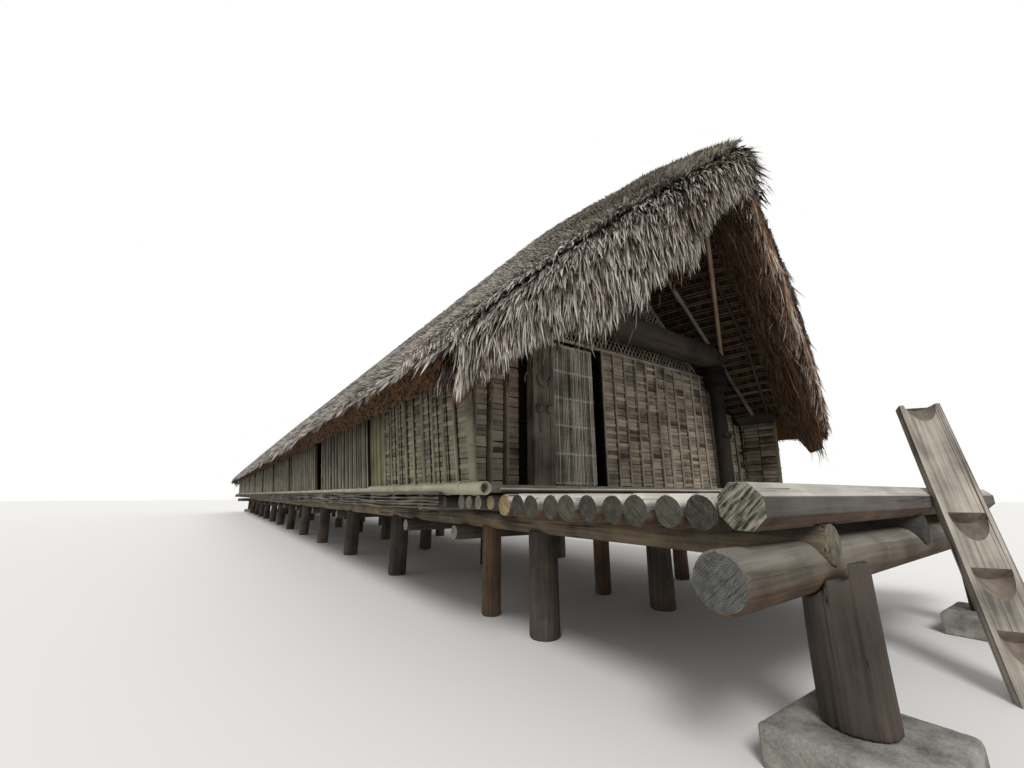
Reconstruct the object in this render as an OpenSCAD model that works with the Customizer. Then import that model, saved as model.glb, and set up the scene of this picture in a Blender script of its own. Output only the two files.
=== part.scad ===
// Longhouse on stilts with a thatched prow roof, a log deck at each end and sliding screens.
// Every size is that of a model at half the real size. X runs across the house, Y along it,
// with the front at the low end of Y. The ground is at Z = 0.

/* [House] */
// Length from the front face of one deck to the front face of the other
house_l = 21250; // [19500:50:23000]
// Width between the side walls at the floor
house_w = 3000; // [2900:10:3100]
// Height of the floor's top above the ground
floor_h = 745; // [700:5:800]
// Distance between the two outer rows of posts
row_w = 1940; // [1860:10:2000]

/* [Deck] */
// Thickness of a round deck log
deck_log_d = 105; // [98:1:108]
// Length of a deck log
deck_log_l = 2760; // [2500:10:2850]
// Number of round logs on a deck
deck_logs_n = 10; // [10]
// Thickness of the hewn edge log across its flats
edge_log_d = 118; // [110:1:124]
// Length of the hewn edge log
edge_log_l = 2960; // [2600:10:3100]
// Thickness of the log that carries the deck, at its thick end
carrier_d = 150; // [140:1:160]
// Thickness of the same log at its thin end
carrier_thin_d = 124; // [116:1:136]
// Length of the log that carries the deck
carrier_l = 2920; // [2600:10:3100]

/* [Floor frame] */
// Thickness of the long beams under the floor
beam_d = 130; // [122:1:136]
// Thickness of a main post under the floor
stilt_d = 160; // [140:2:180]
// Thickness of the slim prop in the first bay
prop_d = 122; // [110:1:150]
// Thickness of the notched post under the deck
deck_post_d = 176; // [168:1:190]
// Height of the horn above the seat of the notched post
horn_h = 45; // [30:1:60]
// Height of the concrete footing
footing_h = 110; // [80:1:130]
// Side of the concrete footing
footing_w = 400; // [380:5:440]
// Thickness of a cross log under the beams
cross_log_d = 100; // [80:1:120]
// Thickness of a joist
joist_d = 96; // [88:1:100]
// Thickness of the split bamboo floor
floor_t = 33; // [24:1:36]
// Thickness of the bamboo rail along the foot of the wall
sill_rail_d = 40; // [32:1:46]

/* [Ladder] */
// Width of the ladder plank
ladder_w = 150; // [130:1:180]
// Thickness of the ladder plank
ladder_t = 52; // [44:1:60]
// Height of the ladder's top above the floor
ladder_rise = 370; // [300:5:450]
// Lean of the ladder from upright, in degrees
ladder_lean = 18; // [14:1:22]
// Turn of the ladder's face towards the left, in degrees
ladder_turn = 58; // [40:1:64]

/* [Walls] */
// Height of a side wall, up to the eave plate
side_wall_h = 585; // [560:5:590]
// Outward lean of a side wall at its top
wall_lean = 60; // [45:1:68]
// Thickness of a bamboo mat wall
wall_t = 14; // [12:1:18]
// Height of the front wall, up to the rail
front_wall_h = 950; // [900:5:970]
// Width of a window
window_w = 372; // [300:2:420]
// Number of windows in a side wall
windows_n = 9; // [7:2:9]
// Width of the doorway
doorway_w = 665; // [620:5:680]
// Width of the door screen
door_w = 545; // [520:5:570]
// Height of the gable lattice above the rail
lattice_h = 760; // [600:10:800]

/* [Frame] */
// Number of inner bays between the two end bays
inner_bays = 9; // [7:2:11]
// Length of each end bay
end_bay = 2120; // [2000:10:2300]
// Thickness of a tie beam
tie_d = 200; // [180:2:210]
// Thickness of an inner house post
house_post_d = 140; // [120:2:160]
// Width of the carved plank post
plank_post_w = 150; // [130:2:170]
// Thickness of the carved plank post
plank_post_t = 64; // [50:1:80]
// Thickness of the round shaft of the carved pot post
pot_post_d = 104; // [92:2:120]
// Diameter of the pot on the carved pot post
pot_d = 190; // [170:2:200]

/* [Roof] */
// Height of the ridge above the ground
ridge_z = 3290; // [3250:5:3380]
// Overhang of the eave beyond the wall's foot
eave_out = 260; // [240:2:280]
// Height of the thatch's outer edge at the eave
eave_top_z = 1325; // [1310:1:1345]
// Thickness of the thatch, measured upright at the ridge
thatch_h = 265; // [245:5:275]
// Fall of the ridge at the tip of each prow
ridge_dip = 430; // [350:5:480]
// Length of each prow's falling ridge
dip_l = 2225; // [2000:5:2400]
// Distance of the ridge tip behind the deck's front face
tip_in = 520; // [440:5:600]
// Distance that the verge rakes back from the ridge to the eave
verge_rake = 350; // [250:5:400]
// Longest hang of the fringe under the verge
fringe_h = 330; // [250:5:380]
// Spacing of the rafters
rafter_step = 530; // [480:5:600]

/* [Hidden] */

e = 1;
steps_n = 48;
// Play between a round timber and the seat cut for it, across its diameter
seat_play = 0.4;
end_y = house_l / 2;
row_x = row_w / 2;
wall_x = house_w / 2;

joist_flat = 3;
beam_flat = 6;
beam_top = floor_h - floor_t - joist_d + joist_flat;
beam_z = beam_top + beam_flat - beam_d / 2;
beam_end_y = end_y - 20;
joist_top = floor_h - floor_t;

edge_log_y = end_y - edge_log_d / 2;
edge_log_z = beam_top + edge_log_d / 2 - 6;
edge_flat = edge_log_d * tan(22.5);
deck_log_z = beam_top + deck_log_d / 2 - 18;
deck_log_y0 = edge_log_y - edge_log_d / 2 - deck_log_d / 2 - 1;
deck_log_step = deck_log_d + 1;
log_wobble = 9;
log_taper = 4;
edge_log_x0 = -deck_log_l / 2 - 5;
edge_log_cut = 35;
carrier_y = end_y - 95;
carrier_z = beam_z - beam_d / 2 + 4;
carrier_x0 = -carrier_l / 2;
seat_deep = 52;
horn_gap = 40;
seat_z = carrier_z - carrier_d / 2 + seat_deep;
deck_post_y = end_y - 35;
horn_y = carrier_y + carrier_d / 2 + horn_gap;

frame_y = end_y - 1355;
bay = (2 * frame_y - 2 * end_bay) / inner_bays;
inner_frames = [for (i = [0 : inner_bays]) end_bay - frame_y + i * bay];
all_frames = concat([-frame_y], inner_frames, [frame_y]);
prop_y = frame_y - 510;
cross_log_places = [780, 1650];
cross_log_past = 340;
cross_log_out = 130;
cross_log_bite = 14;
beam_joints = [-beam_end_y, inner_frames[0], inner_frames[3], -inner_frames[3],
               -inner_frames[0], beam_end_y];

hall_y = frame_y + 165;
front_wall_y = frame_y - 115;
floor_y = hall_y;
joists_n = 46;
joist_past = 22;
floor_lip = 6;
sill_rail_past = 130;
sill_hollow = 60;

wall_angle = atan(wall_lean / side_wall_h);
batten_w = 12;
batten_t = 7;
batten_gap = 122;
corner_gap = 107;
first_panel = 1183;
window_y0 = first_panel - hall_y;
window_step = (-2 * window_y0 - window_w) / (windows_n - 1);
mat_w = window_w * 0.94;
mat_t = 12;
pole_d = 26;

doorway_x = -row_x - 25;
door_x = doorway_x + (doorway_w - door_w) / 2;
wall_back_y = front_wall_y - wall_t;
door_t = 12;
door_gap = 7;
door_clear = 7;
rail_d = 28;
rail_flat = 3;
rail_z = floor_h + front_wall_h + rail_d / 2;
lattice_w = 1720;
lattice_x = 20;
lattice_bar = 10;
lattice_edge = 18;
lattice_pitch = 105;

tie_bottom = floor_h + 1015;
tie_z = tie_bottom + tie_d / 2;
tie_l = row_w + 80;
post_bite = 24;
breasts_h = 430;
crescent_h = 610;
crescent_d = 104;
pot_h = 245;
pot_z = tie_bottom - pot_h - 5;

eave_x = wall_x + eave_out;
eave_tip_x = eave_x - 65;
eave_tip_z = eave_top_z - 150;
ridge_under_z = ridge_z - thatch_h;
tip_y = end_y - tip_in;
dip_y = tip_y - dip_l;
plate_x = row_x + 15;
plate_d = 100;
tie_seat_x = plate_x - 82;
plate_end = frame_y + 90;
knee_z = 1955;
knee_t = plate_x / eave_tip_x;
lip_t = 0.95;
lip_z = 1379;
shares = [0, 0.17, 0.36, knee_t, 0.78, lip_t, 1];
slope_n = len(shares) - 1;
edge_steps = [0, 90, 170, 420, 800, 1180, 1560, 1940, dip_l + 120];
stations_n = len(edge_steps);
verge_bow = 60;
camber = 26;
// Hang of the fringe down the slope, as shares of its longest hang
fringe_shape = [[0, 0.2], [0.17, 0.4], [0.36, 1], [0.58, 0.95], [0.78, 0.5], [1, 0.4]];
rafter_w = 36;
rafter_h = 50;
king_post_d = 70;
ridge_pole_w = 76;
ridge_pole_h = 92;
eave_plate_d = 52;
cap_h = 32;
rafter_y0 = frame_y;
rafter_gaps = round(2 * rafter_y0 / rafter_step);
prow_rafters = [230, 405];
strut_d = 34;

// Fall of the ridge at a place along the house, straight between steps
dip_steps = [for (i = [0 : 10]) i / 10 * (tip_y - dip_y)];
dip_table = [for (s = dip_steps) [dip_y + s, ridge_dip * pow(s / (tip_y - dip_y), 2)]];
function drop(y) = abs(y) <= dip_y ? 0 : lookup(abs(y), dip_table);

// Roof surfaces at slope share t, 0 at the ridge and 1 at the eave
function under_x(t) = t * eave_tip_x;
function knee(y) = knee_z - 0.4 * max(0, drop(y) - drop(frame_y + 200));
function under_z(t, y) = lookup(t, [[0, ridge_under_z - drop(y)], [knee_t, knee(y)], [lip_t, lip_z],
                                    [1, eave_tip_z]]);
function over_x(t) = t * eave_x;
function over_z(t, y) = (ridge_z - drop(y)) * (1 - t) + eave_top_z * t + camber * 4 * t * (1 - t);
function verge_y(t) = tip_y - verge_rake * t + verge_bow * 4 * t * (1 - t);
function fringe(t, k) = k > 1 ? 0 : fringe_h * lookup(t, fringe_shape) * (k == 0 ? 0.8 : 1);
function slope_x(x) = x / eave_tip_x;

// Place of a station along the house, from the front verge to the rear one
function station_y(k, t, back) = let (n = stations_n)
    k < n ? -(verge_y(t) - edge_steps[k] - (back && k < 3 ? 40 : 0))
          : verge_y(t) - edge_steps[2 * n - 1 - k] - (back && 2 * n - 1 - k < 3 ? 40 : 0);
function edge_index(k) = k < stations_n ? k : 2 * stations_n - 1 - k;

// Solid through a list of closed sections with equal numbers of points
module loft(sections, flip = false) {
    n = len(sections[0]);
    m = len(sections);
    half = n / 2;
    points = [for (s = sections) each s];
    sides = [for (k = [0 : m - 2], i = [0 : n - 1])
        let (a = k * n + i, b = k * n + (i + 1) % n, c = a + n, d = b + n)
        each [[a, c, d], [a, d, b]]];
    caps = [for (i = [0 : half - 2])
        let (a = i, b = i + 1, c = n - 2 - i, d = n - 1 - i, o = (m - 1) * n)
        each [[a, b, c], [a, c, d], [o + a, o + c, o + b], [o + a, o + d, o + c]]];
    faces = concat(sides, caps);
    polyhedron(points, flip ? [for (f = faces) [f[0], f[2], f[1]]] : faces, convexity = 6);
}

// Repeats a piece at the other end of the house
module at_rear() {
    rotate([0, 0, 180]) children();
}

module both_ends() {
    children();
    at_rear() children();
}

module both_rows() {
    for (x = [-row_x, row_x]) translate([x, 0, 0]) children();
}

// Solid of the carrier log, also used to cut its seats
module carrier_solid(play = 0) {
    translate([carrier_x0, -carrier_y, carrier_z]) rotate([0, 90, 0])
        cylinder(h = carrier_l, d1 = carrier_d + play, d2 = carrier_thin_d + play, $fn = steps_n);
}

module footings() {
    color("darkgray") both_ends() both_rows() translate([-footing_w / 2, -deck_post_y - footing_w / 2, 0])
        cube([footing_w, footing_w * 0.94, footing_h]);
}

// Posts under the deck, each with a seat for the carrier log and a horn in front of it
module notched_posts() {
    difference() {
        both_rows() translate([0, -deck_post_y, footing_h])
            cylinder(h = seat_z + horn_h - footing_h, d = deck_post_d, $fn = steps_n);
        translate([-wall_x, -horn_y, seat_z]) cube([house_w, deck_post_d * 2, horn_h + e]);
        carrier_solid(seat_play);
    }
}
module deck_posts() { color("dimgray") both_ends() notched_posts(); }

module carrier_logs() { color("tan") both_ends() carrier_solid(); }

// Long beam in lapped lengths, hewn flat on top and notched over the carrier logs
module floor_beam(x) {
    difference() {
        for (i = [0 : len(beam_joints) - 2]) {
            from = beam_joints[i] + (i == 0 ? 0 : 1);
            to = beam_joints[i + 1] - (i == len(beam_joints) - 2 ? 0 : 1);
            translate([x, from, beam_z]) rotate([-90, 0, 0])
                linear_extrude(to - from) difference() {
                    circle(d = beam_d, $fn = steps_n);
                    translate([-beam_d, beam_flat - beam_d * 2]) square([2 * beam_d, 1.5 * beam_d]);
                }
        }
        both_ends() carrier_solid(seat_play);
    }
}
module floor_beam_left() { color("peru") floor_beam(-row_x); }
module floor_beam_middle() { color("saddlebrown") floor_beam(0); }
module floor_beam_right() { color("peru") floor_beam(row_x); }

// Row of posts from the ground up to a beam, with a saddle cut for it
module stilts(x, d) {
    difference() {
        union() {
            for (y = all_frames) translate([x, y, 0])
                cylinder(h = beam_z - beam_d / 2 + post_bite, d = d, $fn = steps_n);
            for (y = [-prop_y, prop_y]) translate([x, y, 0])
                cylinder(h = beam_z - beam_d / 2 + post_bite, d = prop_d, $fn = steps_n);
        }
        translate([x, -end_y, beam_z]) rotate([-90, 0, 0])
            cylinder(h = house_l, d = beam_d + seat_play, $fn = steps_n);
    }
}
module stilts_left() { color("sienna") stilts(-row_x, stilt_d); }
module stilts_middle() { color("sienna") stilts(0, stilt_d); }
module stilts_right() { color("sienna") stilts(row_x, stilt_d); }

// Cross logs slung under the beams beside the posts, two in each end bay
module cross_logs() {
    half = floor(inner_bays / 2);
    front = concat([for (y = cross_log_places) y - frame_y],
                   [for (i = [1 : half]) inner_frames[i] + cross_log_past]);
    color("sienna") both_ends() for (y = front) difference() {
        translate([-row_x - cross_log_out, y, beam_z - beam_d / 2 - cross_log_d / 2 + cross_log_bite])
            rotate([0, 90, 0]) cylinder(h = row_w + 2 * cross_log_out, d = cross_log_d, $fn = steps_n);
        for (x = [-row_x, 0, row_x]) translate([x, y - cross_log_d, beam_z]) rotate([-90, 0, 0])
            cylinder(h = 2 * cross_log_d, d = beam_d + seat_play, $fn = steps_n);
    }
}

module floor_joists() {
    gap = (2 * floor_y - joist_d - 10) / (joists_n - 1);
    end_x = wall_x + sill_rail_d + joist_past;
    color("burlywood") for (i = [0 : joists_n - 1])
        translate([-end_x, -floor_y + joist_d / 2 + 5 + i * gap, joist_top - joist_d / 2])
            rotate([90, 0, 90]) linear_extrude(2 * end_x) intersection() {
                circle(d = joist_d, $fn = steps_n);
                translate([-joist_d, -joist_d / 2 + joist_flat]) square([2 * joist_d, joist_d - joist_flat - 2]);
            }
}

module bamboo_floor() {
    color("burlywood") translate([-wall_x - floor_lip, -floor_y, joist_top - 2])
        cube([house_w + 2 * floor_lip, 2 * floor_y, floor_t + 2]);
}

// Round deck logs, each with a flat notch over every beam
module deck_logs() {
    for (i = [0 : deck_logs_n - 1]) {
        wobble = log_wobble * sin(i * 137);
        translate([0, -deck_log_y0 + i * deck_log_step, 0]) difference() {
            translate([-deck_log_l / 2 + wobble, 0, deck_log_z]) rotate([0, 90, 0])
                cylinder(h = deck_log_l, d = deck_log_d - log_taper * abs(sin(i * 71)), $fn = steps_n);
            for (x = [-row_x, 0, row_x]) translate([x - beam_d * 0.6, -deck_log_d, beam_top - deck_log_d])
                cube([beam_d * 1.2, 2 * deck_log_d, deck_log_d]);
        }
    }
}
module deck_logs_front() { color("silver") deck_logs(); }
module deck_logs_rear() { color("silver") at_rear() deck_logs(); }

// Eight-sided log along the front of the deck, hewn thinner at its far end
module edge_log() {
    difference() {
        translate([edge_log_x0, -edge_log_y, edge_log_z]) rotate([0, 90, 0]) rotate([0, 0, 22.5])
            cylinder(h = edge_log_l, d = edge_log_d / cos(22.5), $fn = 8);
        for (x = [-row_x, 0, row_x]) translate([x - beam_d * 0.6, -end_y - e, beam_top - edge_log_d])
            cube([beam_d * 1.2, 2 * edge_log_d, edge_log_d]);
        translate([edge_log_x0 + edge_log_l, -end_y, edge_log_z - edge_log_d / 2])
            rotate([0, -edge_log_cut, 0]) translate([-edge_log_d * 1.5, -edge_log_d, -edge_log_d])
                cube([edge_log_d * 3, edge_log_d * 3, edge_log_d]);
    }
}
module edge_logs() { color("lightgray") both_ends() edge_log(); }

// Ladder hewn from one plank, with scooped steps, leaning on the edge log
ladder_up = (floor_h + ladder_rise) / cos(ladder_lean);
ladder_x = -75;
upper_tread = 608;
tread_step = 214;
module ladder() {
    side = ladder_w / 2 * sin(ladder_turn) + 0.4 * ladder_t;
    contact_z = edge_log_z + edge_flat / 2;
    foot_y = -end_y - side - contact_z * tan(ladder_lean) * cos(ladder_turn);
    difference() {
        translate([ladder_x, foot_y, 0]) rotate([0, 0, -ladder_turn]) rotate([-ladder_lean, 0, 0])
            difference() {
                translate([-ladder_w / 2, 0, -ladder_t]) cube([ladder_w, ladder_t, ladder_up + ladder_t]);
                for (z = concat([ladder_up - 30], [for (i = [0 : 2]) upper_tread - i * tread_step]))
                    translate([0, 0, z]) scoop();
            }
        translate([-wall_x, -end_y - house_w, -ladder_t * 4]) cube([house_w, 2 * house_w, ladder_t * 4]);
        translate([-row_x, -edge_log_y, edge_log_z]) rotate([0, 90, 0]) rotate([0, 0, 22.5])
            cylinder(h = row_w, d = edge_log_d / cos(22.5), $fn = 8);
    }
}

// Half-moon foothold: deep under the tread's lip, running out to nothing below
module scoop() {
    translate([0, -ladder_t * 0.62, 0]) rotate([90 + 58, 0, 0]) translate([0, 0, -ladder_t * 1.2])
        cylinder(h = ladder_t * 2, d = ladder_w * 0.78, $fn = steps_n);
}
module ladders() { color("gray") both_ends() ladder(); }

// Hollow bamboo rails on the joist ends, along the foot of each side wall
module sill_rails() {
    l = 2 * (floor_y + sill_rail_past);
    x = wall_x + floor_lip + 2 + sill_rail_d / 2;
    color("tan") for (side = [-1, 1]) translate([side * x, -l / 2, joist_top - 2 + sill_rail_d / 2])
        rotate([-90, 0, 0]) difference() {
            cylinder(h = l, d = sill_rail_d, $fn = steps_n);
            for (z = [-e, l - sill_hollow]) translate([0, 0, z])
                cylinder(h = sill_hollow + e, d = sill_rail_d - 12, $fn = steps_n);
        }
}

// Flat mat wall with upright battens on its outer face, lying in XZ with its face to -Y
module batten_panel(l, h, gap) {
    n = max(2, round(l / gap));
    linear_extrude(h) union() {
        square([l, wall_t]);
        for (i = [0 : n]) translate([i * (l - batten_w) / n, -batten_t]) square([batten_w, batten_t + e]);
    }
}

// Leans a piece outwards about the foot of the left wall, with its length along Y
module leaning_left() {
    difference() {
        translate([-wall_x, 0, floor_h]) rotate([0, -wall_angle, 0]) children();
        for (z = [0, floor_h + side_wall_h]) translate([-wall_x * 2, -end_y, z])
            cube([house_w, house_l, floor_h]);
    }
}

// Fixed panels of a side wall, from the corner to the first window and on between windows
module side_wall() {
    lift = wall_t;
    leaning_left() for (i = [0 : windows_n]) {
        from = i == 0 ? -hall_y : window_y0 + (i - 1) * window_step + window_w;
        to = i == windows_n ? hall_y : window_y0 + i * window_step;
        translate([0, to, -lift]) rotate([0, 0, -90])
            batten_panel(to - from, side_wall_h / cos(wall_angle) + 2 * lift, i == 0 ? corner_gap : batten_gap);
    }
}
module side_wall_left() { color("darkkhaki") side_wall(); }
module side_wall_right() { color("darkkhaki") at_rear() side_wall(); }

// Sliding window mats inside the wall, each left at its own opening
module window_mats() {
    color("darkkhaki") both_ends() leaning_left() for (i = [0 : windows_n - 1]) {
        share = i % 3 == 0 ? 0.06 : i % 3 == 1 ? 0.96 : 0.6;
        translate([wall_t, window_y0 + i * window_step + window_w * share - window_w * 0.02, -mat_t])
            cube([mat_t, mat_w, side_wall_h / cos(wall_angle) + mat_t - 8]);
    }
}

// Bamboo poles that end each side wall
module corner_poles() {
    color("khaki") both_ends() for (s = [-1, 1]) difference() {
        translate([s * (wall_x - wall_t / 2), -hall_y - pole_d / 2, floor_h]) rotate([0, s * wall_angle, 0])
            translate([0, 0, -pole_d]) cylinder(h = side_wall_h + pole_d - 6, d = pole_d, $fn = steps_n);
        translate([-house_w, -hall_y - house_w, joist_top - house_w - 2])
            cube([2 * house_w, 2 * house_w, house_w]);
    }
}

// Walls of the side aisles beside the porch posts, sloped at the top as the roof is
module wing_walls() {
    low = side_wall_h - 20;
    color("rosybrown") both_ends() translate([0, -wall_back_y, floor_h]) rotate([90, 0, 0])
        linear_extrude(wall_t) {
            polygon([[-wall_x + wall_t + 4, 0], [doorway_x, 0], [doorway_x, front_wall_h],
                     [-wall_x + 4 - wall_lean * 0.6, low], [-wall_x + 4 - wall_lean * 0.6, low - 60]]);
            polygon([[wall_x - wall_t - 4, 0], [row_x + 60, 0], [row_x + 60, front_wall_h],
                     [wall_x - 4 + wall_lean * 0.6, low], [wall_x - 4 + wall_lean * 0.6, low - 60]]);
        }
}

// Main mat wall from the doorway to the pot post
module hall_wall() {
    from = doorway_x + doorway_w;
    translate([from, -front_wall_y, floor_h]) batten_panel(row_x + 59 - from, front_wall_h, batten_gap);
}
module front_wall() { color("tan") hall_wall(); }
module rear_wall() { color("tan") at_rear() hall_wall(); }

// Screen of thin upright rods held by woven cross strips
module door_screen(l, h) {
    rods = 26;
    wefts = 6;
    rod_w = 8;
    weft_h = 12;
    linear_extrude(h) for (i = [0 : rods - 1]) translate([i * (l - rod_w) / (rods - 1), 2])
        square([rod_w, rod_w]);
    for (k = [0 : wefts - 1]) translate([0, 0, weft_h + k * (h - 3 * weft_h) / (wefts - 1)])
        cube([l, door_t, weft_h]);
}
module front_door() {
    color("wheat") translate([door_x, -wall_back_y + door_gap, floor_h + door_clear])
        door_screen(door_w, front_wall_h - 2 * door_clear);
}
module rear_door() {
    color("wheat") at_rear() translate([doorway_x - 20, -wall_back_y, floor_h])
        door_screen(doorway_w + 40, front_wall_h);
}

// Rail on top of each hall wall, across the doorway too
module gable_rails() {
    color("tan") both_ends() difference() {
        translate([doorway_x, -wall_back_y - wall_t / 2, rail_z]) rotate([0, 90, 0])
            cylinder(h = row_x + 60 - doorway_x, d = rail_d, $fn = steps_n);
        for (z = [0, rail_z + rail_d / 2 - rail_flat]) translate([-wall_x, -wall_back_y - house_w / 2, z])
            cube([house_w, house_w, floor_h + front_wall_h]);
    }
}

// Diamond lattice in a three-cornered gable, edged by poles
module lattice() {
    base = rail_z + rail_d / 2 - rail_flat;
    half = lattice_w / 2;
    reach = lattice_h + lattice_w;
    lean = atan(lattice_h / half);
    inner = half - lattice_edge / tan(lean / 2);
    n = ceil(half / lattice_pitch) + 6;
    translate([lattice_x, -wall_back_y - wall_t / 2 + lattice_bar / 2, base]) rotate([90, 0, 0])
        linear_extrude(lattice_bar) union() {
            intersection() {
                polygon([[-half, 0], [half, 0], [0, lattice_h]]);
                for (i = [-n : n], a = [-58, 58]) translate([i * lattice_pitch, 0]) rotate(a)
                    translate([-reach / 2, -lattice_bar / 2]) square([reach, lattice_bar]);
            }
            difference() {
                polygon([[-half, 0], [half, 0], [0, lattice_h]]);
                polygon([[-inner, lattice_edge], [inner, lattice_edge],
                         [0, lattice_h - lattice_edge / cos(lean)]]);
            }
        }
}
module gable_lattices() { color("darkkhaki") both_ends() lattice(); }

// Plank post with a crescent and a pair of breasts carved on its face
module plank_posts() {
    color("saddlebrown") both_ends() difference() {
        union() {
            translate([-row_x - plank_post_w / 2, -frame_y - plank_post_t / 2, floor_h])
                cube([plank_post_w, plank_post_t, tie_bottom - floor_h + post_bite]);
            for (x = [-36, 36]) translate([-row_x + x, -frame_y - plank_post_t / 2, floor_h + breasts_h])
                sphere(d = 56, $fn = steps_n);
            translate([-row_x, -frame_y - plank_post_t / 2 + e, floor_h + crescent_h]) rotate([90, 0, 0])
                linear_extrude(12) difference() {
                    circle(d = crescent_d, $fn = steps_n);
                    translate([0, crescent_d / 4]) circle(d = crescent_d * 0.94, $fn = steps_n);
                }
        }
        tie_solid(-frame_y, seat_play);
    }
}

// Round post turned in one piece with a ringed pot under the tie beam
module pot_posts() {
    r = pot_post_d / 2;
    pr = pot_d / 2;
    z = pot_z - floor_h;
    color("saddlebrown") both_ends() difference() {
        union() {
            translate([row_x, -frame_y, floor_h]) rotate_extrude($fn = steps_n) polygon([
                [0, 0], [r, 0], [r, z], [r + 8, z + 14], [r + 4, z + 30], [pr - 22, z + 62], [pr - 12, z + 76],
                [pr - 20, z + 86], [pr - 9, z + 98], [pr - 17, z + 110], [pr - 5, z + 124], [pr, z + 152],
                [pr - 3, z + 178], [pr - 12, z + 190], [pr - 3, z + 202], [pr - 14, z + 214], [pr - 6, z + 228],
                [pr - 10, z + pot_h], [r, z + pot_h], [r, tie_bottom - floor_h + post_bite],
                [0, tie_bottom - floor_h + post_bite]]);
            for (a = [-34, 34]) translate([row_x, -frame_y, floor_h + breasts_h]) rotate([0, 0, a])
                translate([0, 3 - r, 0]) sphere(d = 50, $fn = steps_n);
        }
        tie_solid(-frame_y, seat_play);
    }
}

module inner_posts() {
    color("saddlebrown") difference() {
        for (y = inner_frames) both_rows() translate([0, y, floor_h])
            cylinder(h = tie_bottom - floor_h + post_bite, d = house_post_d, $fn = steps_n);
        for (y = inner_frames) tie_solid(y, seat_play);
    }
}

module tie_solid(y, play = 0) {
    translate([-tie_l / 2, y, tie_z]) rotate([0, 90, 0]) cylinder(h = tie_l, d = tie_d + play, $fn = steps_n);
}

// Tie beams with their ends hewn down to a seat for the roof plates
module seated_ties(places) {
    difference() {
        for (y = places) tie_solid(y);
        for (s = [-1, 1]) translate([s > 0 ? tie_seat_x : -tie_l, -end_y, plate_z - plate_d / 2])
            cube([tie_l - tie_seat_x, house_l, tie_d]);
    }
}
module tie_beams_end() { color("dimgray") seated_ties([-frame_y, frame_y]); }
module tie_beams_inner() { color("dimgray") seated_ties(inner_frames); }

// Plates on the tie beams' ends, bevelled outside to lie under the rafters' lower slope
plate_z = knee_z - rafter_h - plate_d / 2;
plate_bevel = (knee_z - lip_z) / (lip_t * eave_tip_x - plate_x) * plate_d / 2;
module plate_profile(s) {
    h = plate_d / 2;
    scale([s, -1]) polygon([[0, h], [h, h - plate_bevel], [h, -h + 9], [h - 9, -h], [-h + 9, -h], [-h, -h + 9],
                            [-h, h - 9], [-h + 9, h]]);
}
module roof_plates() {
    l = 2 * plate_end;
    color("dimgray") for (s = [-1, 1]) translate([s * plate_x, -l / 2, plate_z]) rotate([-90, 0, 0])
        linear_extrude(l) plate_profile(s);
}

// Sections of a roof timber that follows the ridge's fall, from one verge to the other
timber_y = [for (i = [0 : len(dip_table) - 2]) -dip_table[len(dip_table) - 2 - i][0]];
timber_run = concat(timber_y, [for (i = [0 : len(timber_y) - 1]) -timber_y[len(timber_y) - 1 - i]]);

module eave_plates() {
    x0 = wall_x + wall_lean - 33;
    x1 = x0 + eave_plate_d;
    l = 2 * hall_y + 60;
    z = floor_h + side_wall_h;
    color("tan") for (s = [0, 1]) mirror([s, 0, 0]) translate([0, l / 2, 0]) rotate([90, 0, 0]) linear_extrude(l)
        polygon([[x0 + 10, z], [x1 - 4, z], [x1, z + 8], [x1, under_z(slope_x(x1), 0) - rafter_h],
                 [x0, under_z(slope_x(x0), 0) - rafter_h], [x0, z + 10]]);
}

module king_posts() {
    top = ridge_under_z - rafter_h - ridge_pole_h;
    color("saddlebrown") difference() {
        for (y = all_frames) let (z = tie_z + tie_d / 2 - post_bite) translate([0, y, z])
            cylinder(h = top - drop(y) - z - (abs(y) > dip_y ? 9 : 0), d = king_post_d, $fn = steps_n);
        for (y = all_frames) tie_solid(y, seat_play);
    }
}

module ridge_pole() {
    w = ridge_pole_w / 2;
    color("sienna") loft([for (y = timber_run)
        let (z = under_z(0, y) - rafter_h, f = (under_z(0, y) - knee(y)) / plate_x * w)
        [[w * 0.3, y, z - f * 0.3], [w, y, z - f], [w * 0.7, y, z - ridge_pole_h],
         [-w * 0.7, y, z - ridge_pole_h], [-w, y, z - f], [-w * 0.3, y, z - f * 0.3]]]);
}

// Rafter hung below the thatch, bent over the roof plate; rake sets it back from the verge instead
module rafter(y0, gap, rake = 0) {
    w = rafter_w / 2;
    loft([for (t = [0, knee_t, lip_t])
        let (y = rake == 0 ? y0 : -verge_y(t) + rake,
             h = rafter_h - (rake > 0 ? 3 + 30 * t : gap > 1 ? 0.4 : 0))
        [[under_x(t), y + w, under_z(t, y + w) - gap], [under_x(t), y - w, under_z(t, y - w) - gap],
         [under_x(t), y - w, under_z(t, y - w) - h], [under_x(t), y + w, under_z(t, y + w) - h]]]);
}
module rafters() {
    for (i = [0 : rafter_gaps]) {
        y = -rafter_y0 + i * 2 * rafter_y0 / rafter_gaps;
        rafter(y, abs(y) > dip_y - rafter_step ? 13 : 0.2);
    }
    for (rake = prow_rafters) {
        rafter(0, 10, rake);
        mirror([0, 1, 0]) rafter(0, 10, rake);
    }
}
module rafters_left() { color("sienna") mirror([1, 0, 0]) rafters(); }
module rafters_right() { color("sienna") rafters(); }

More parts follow.
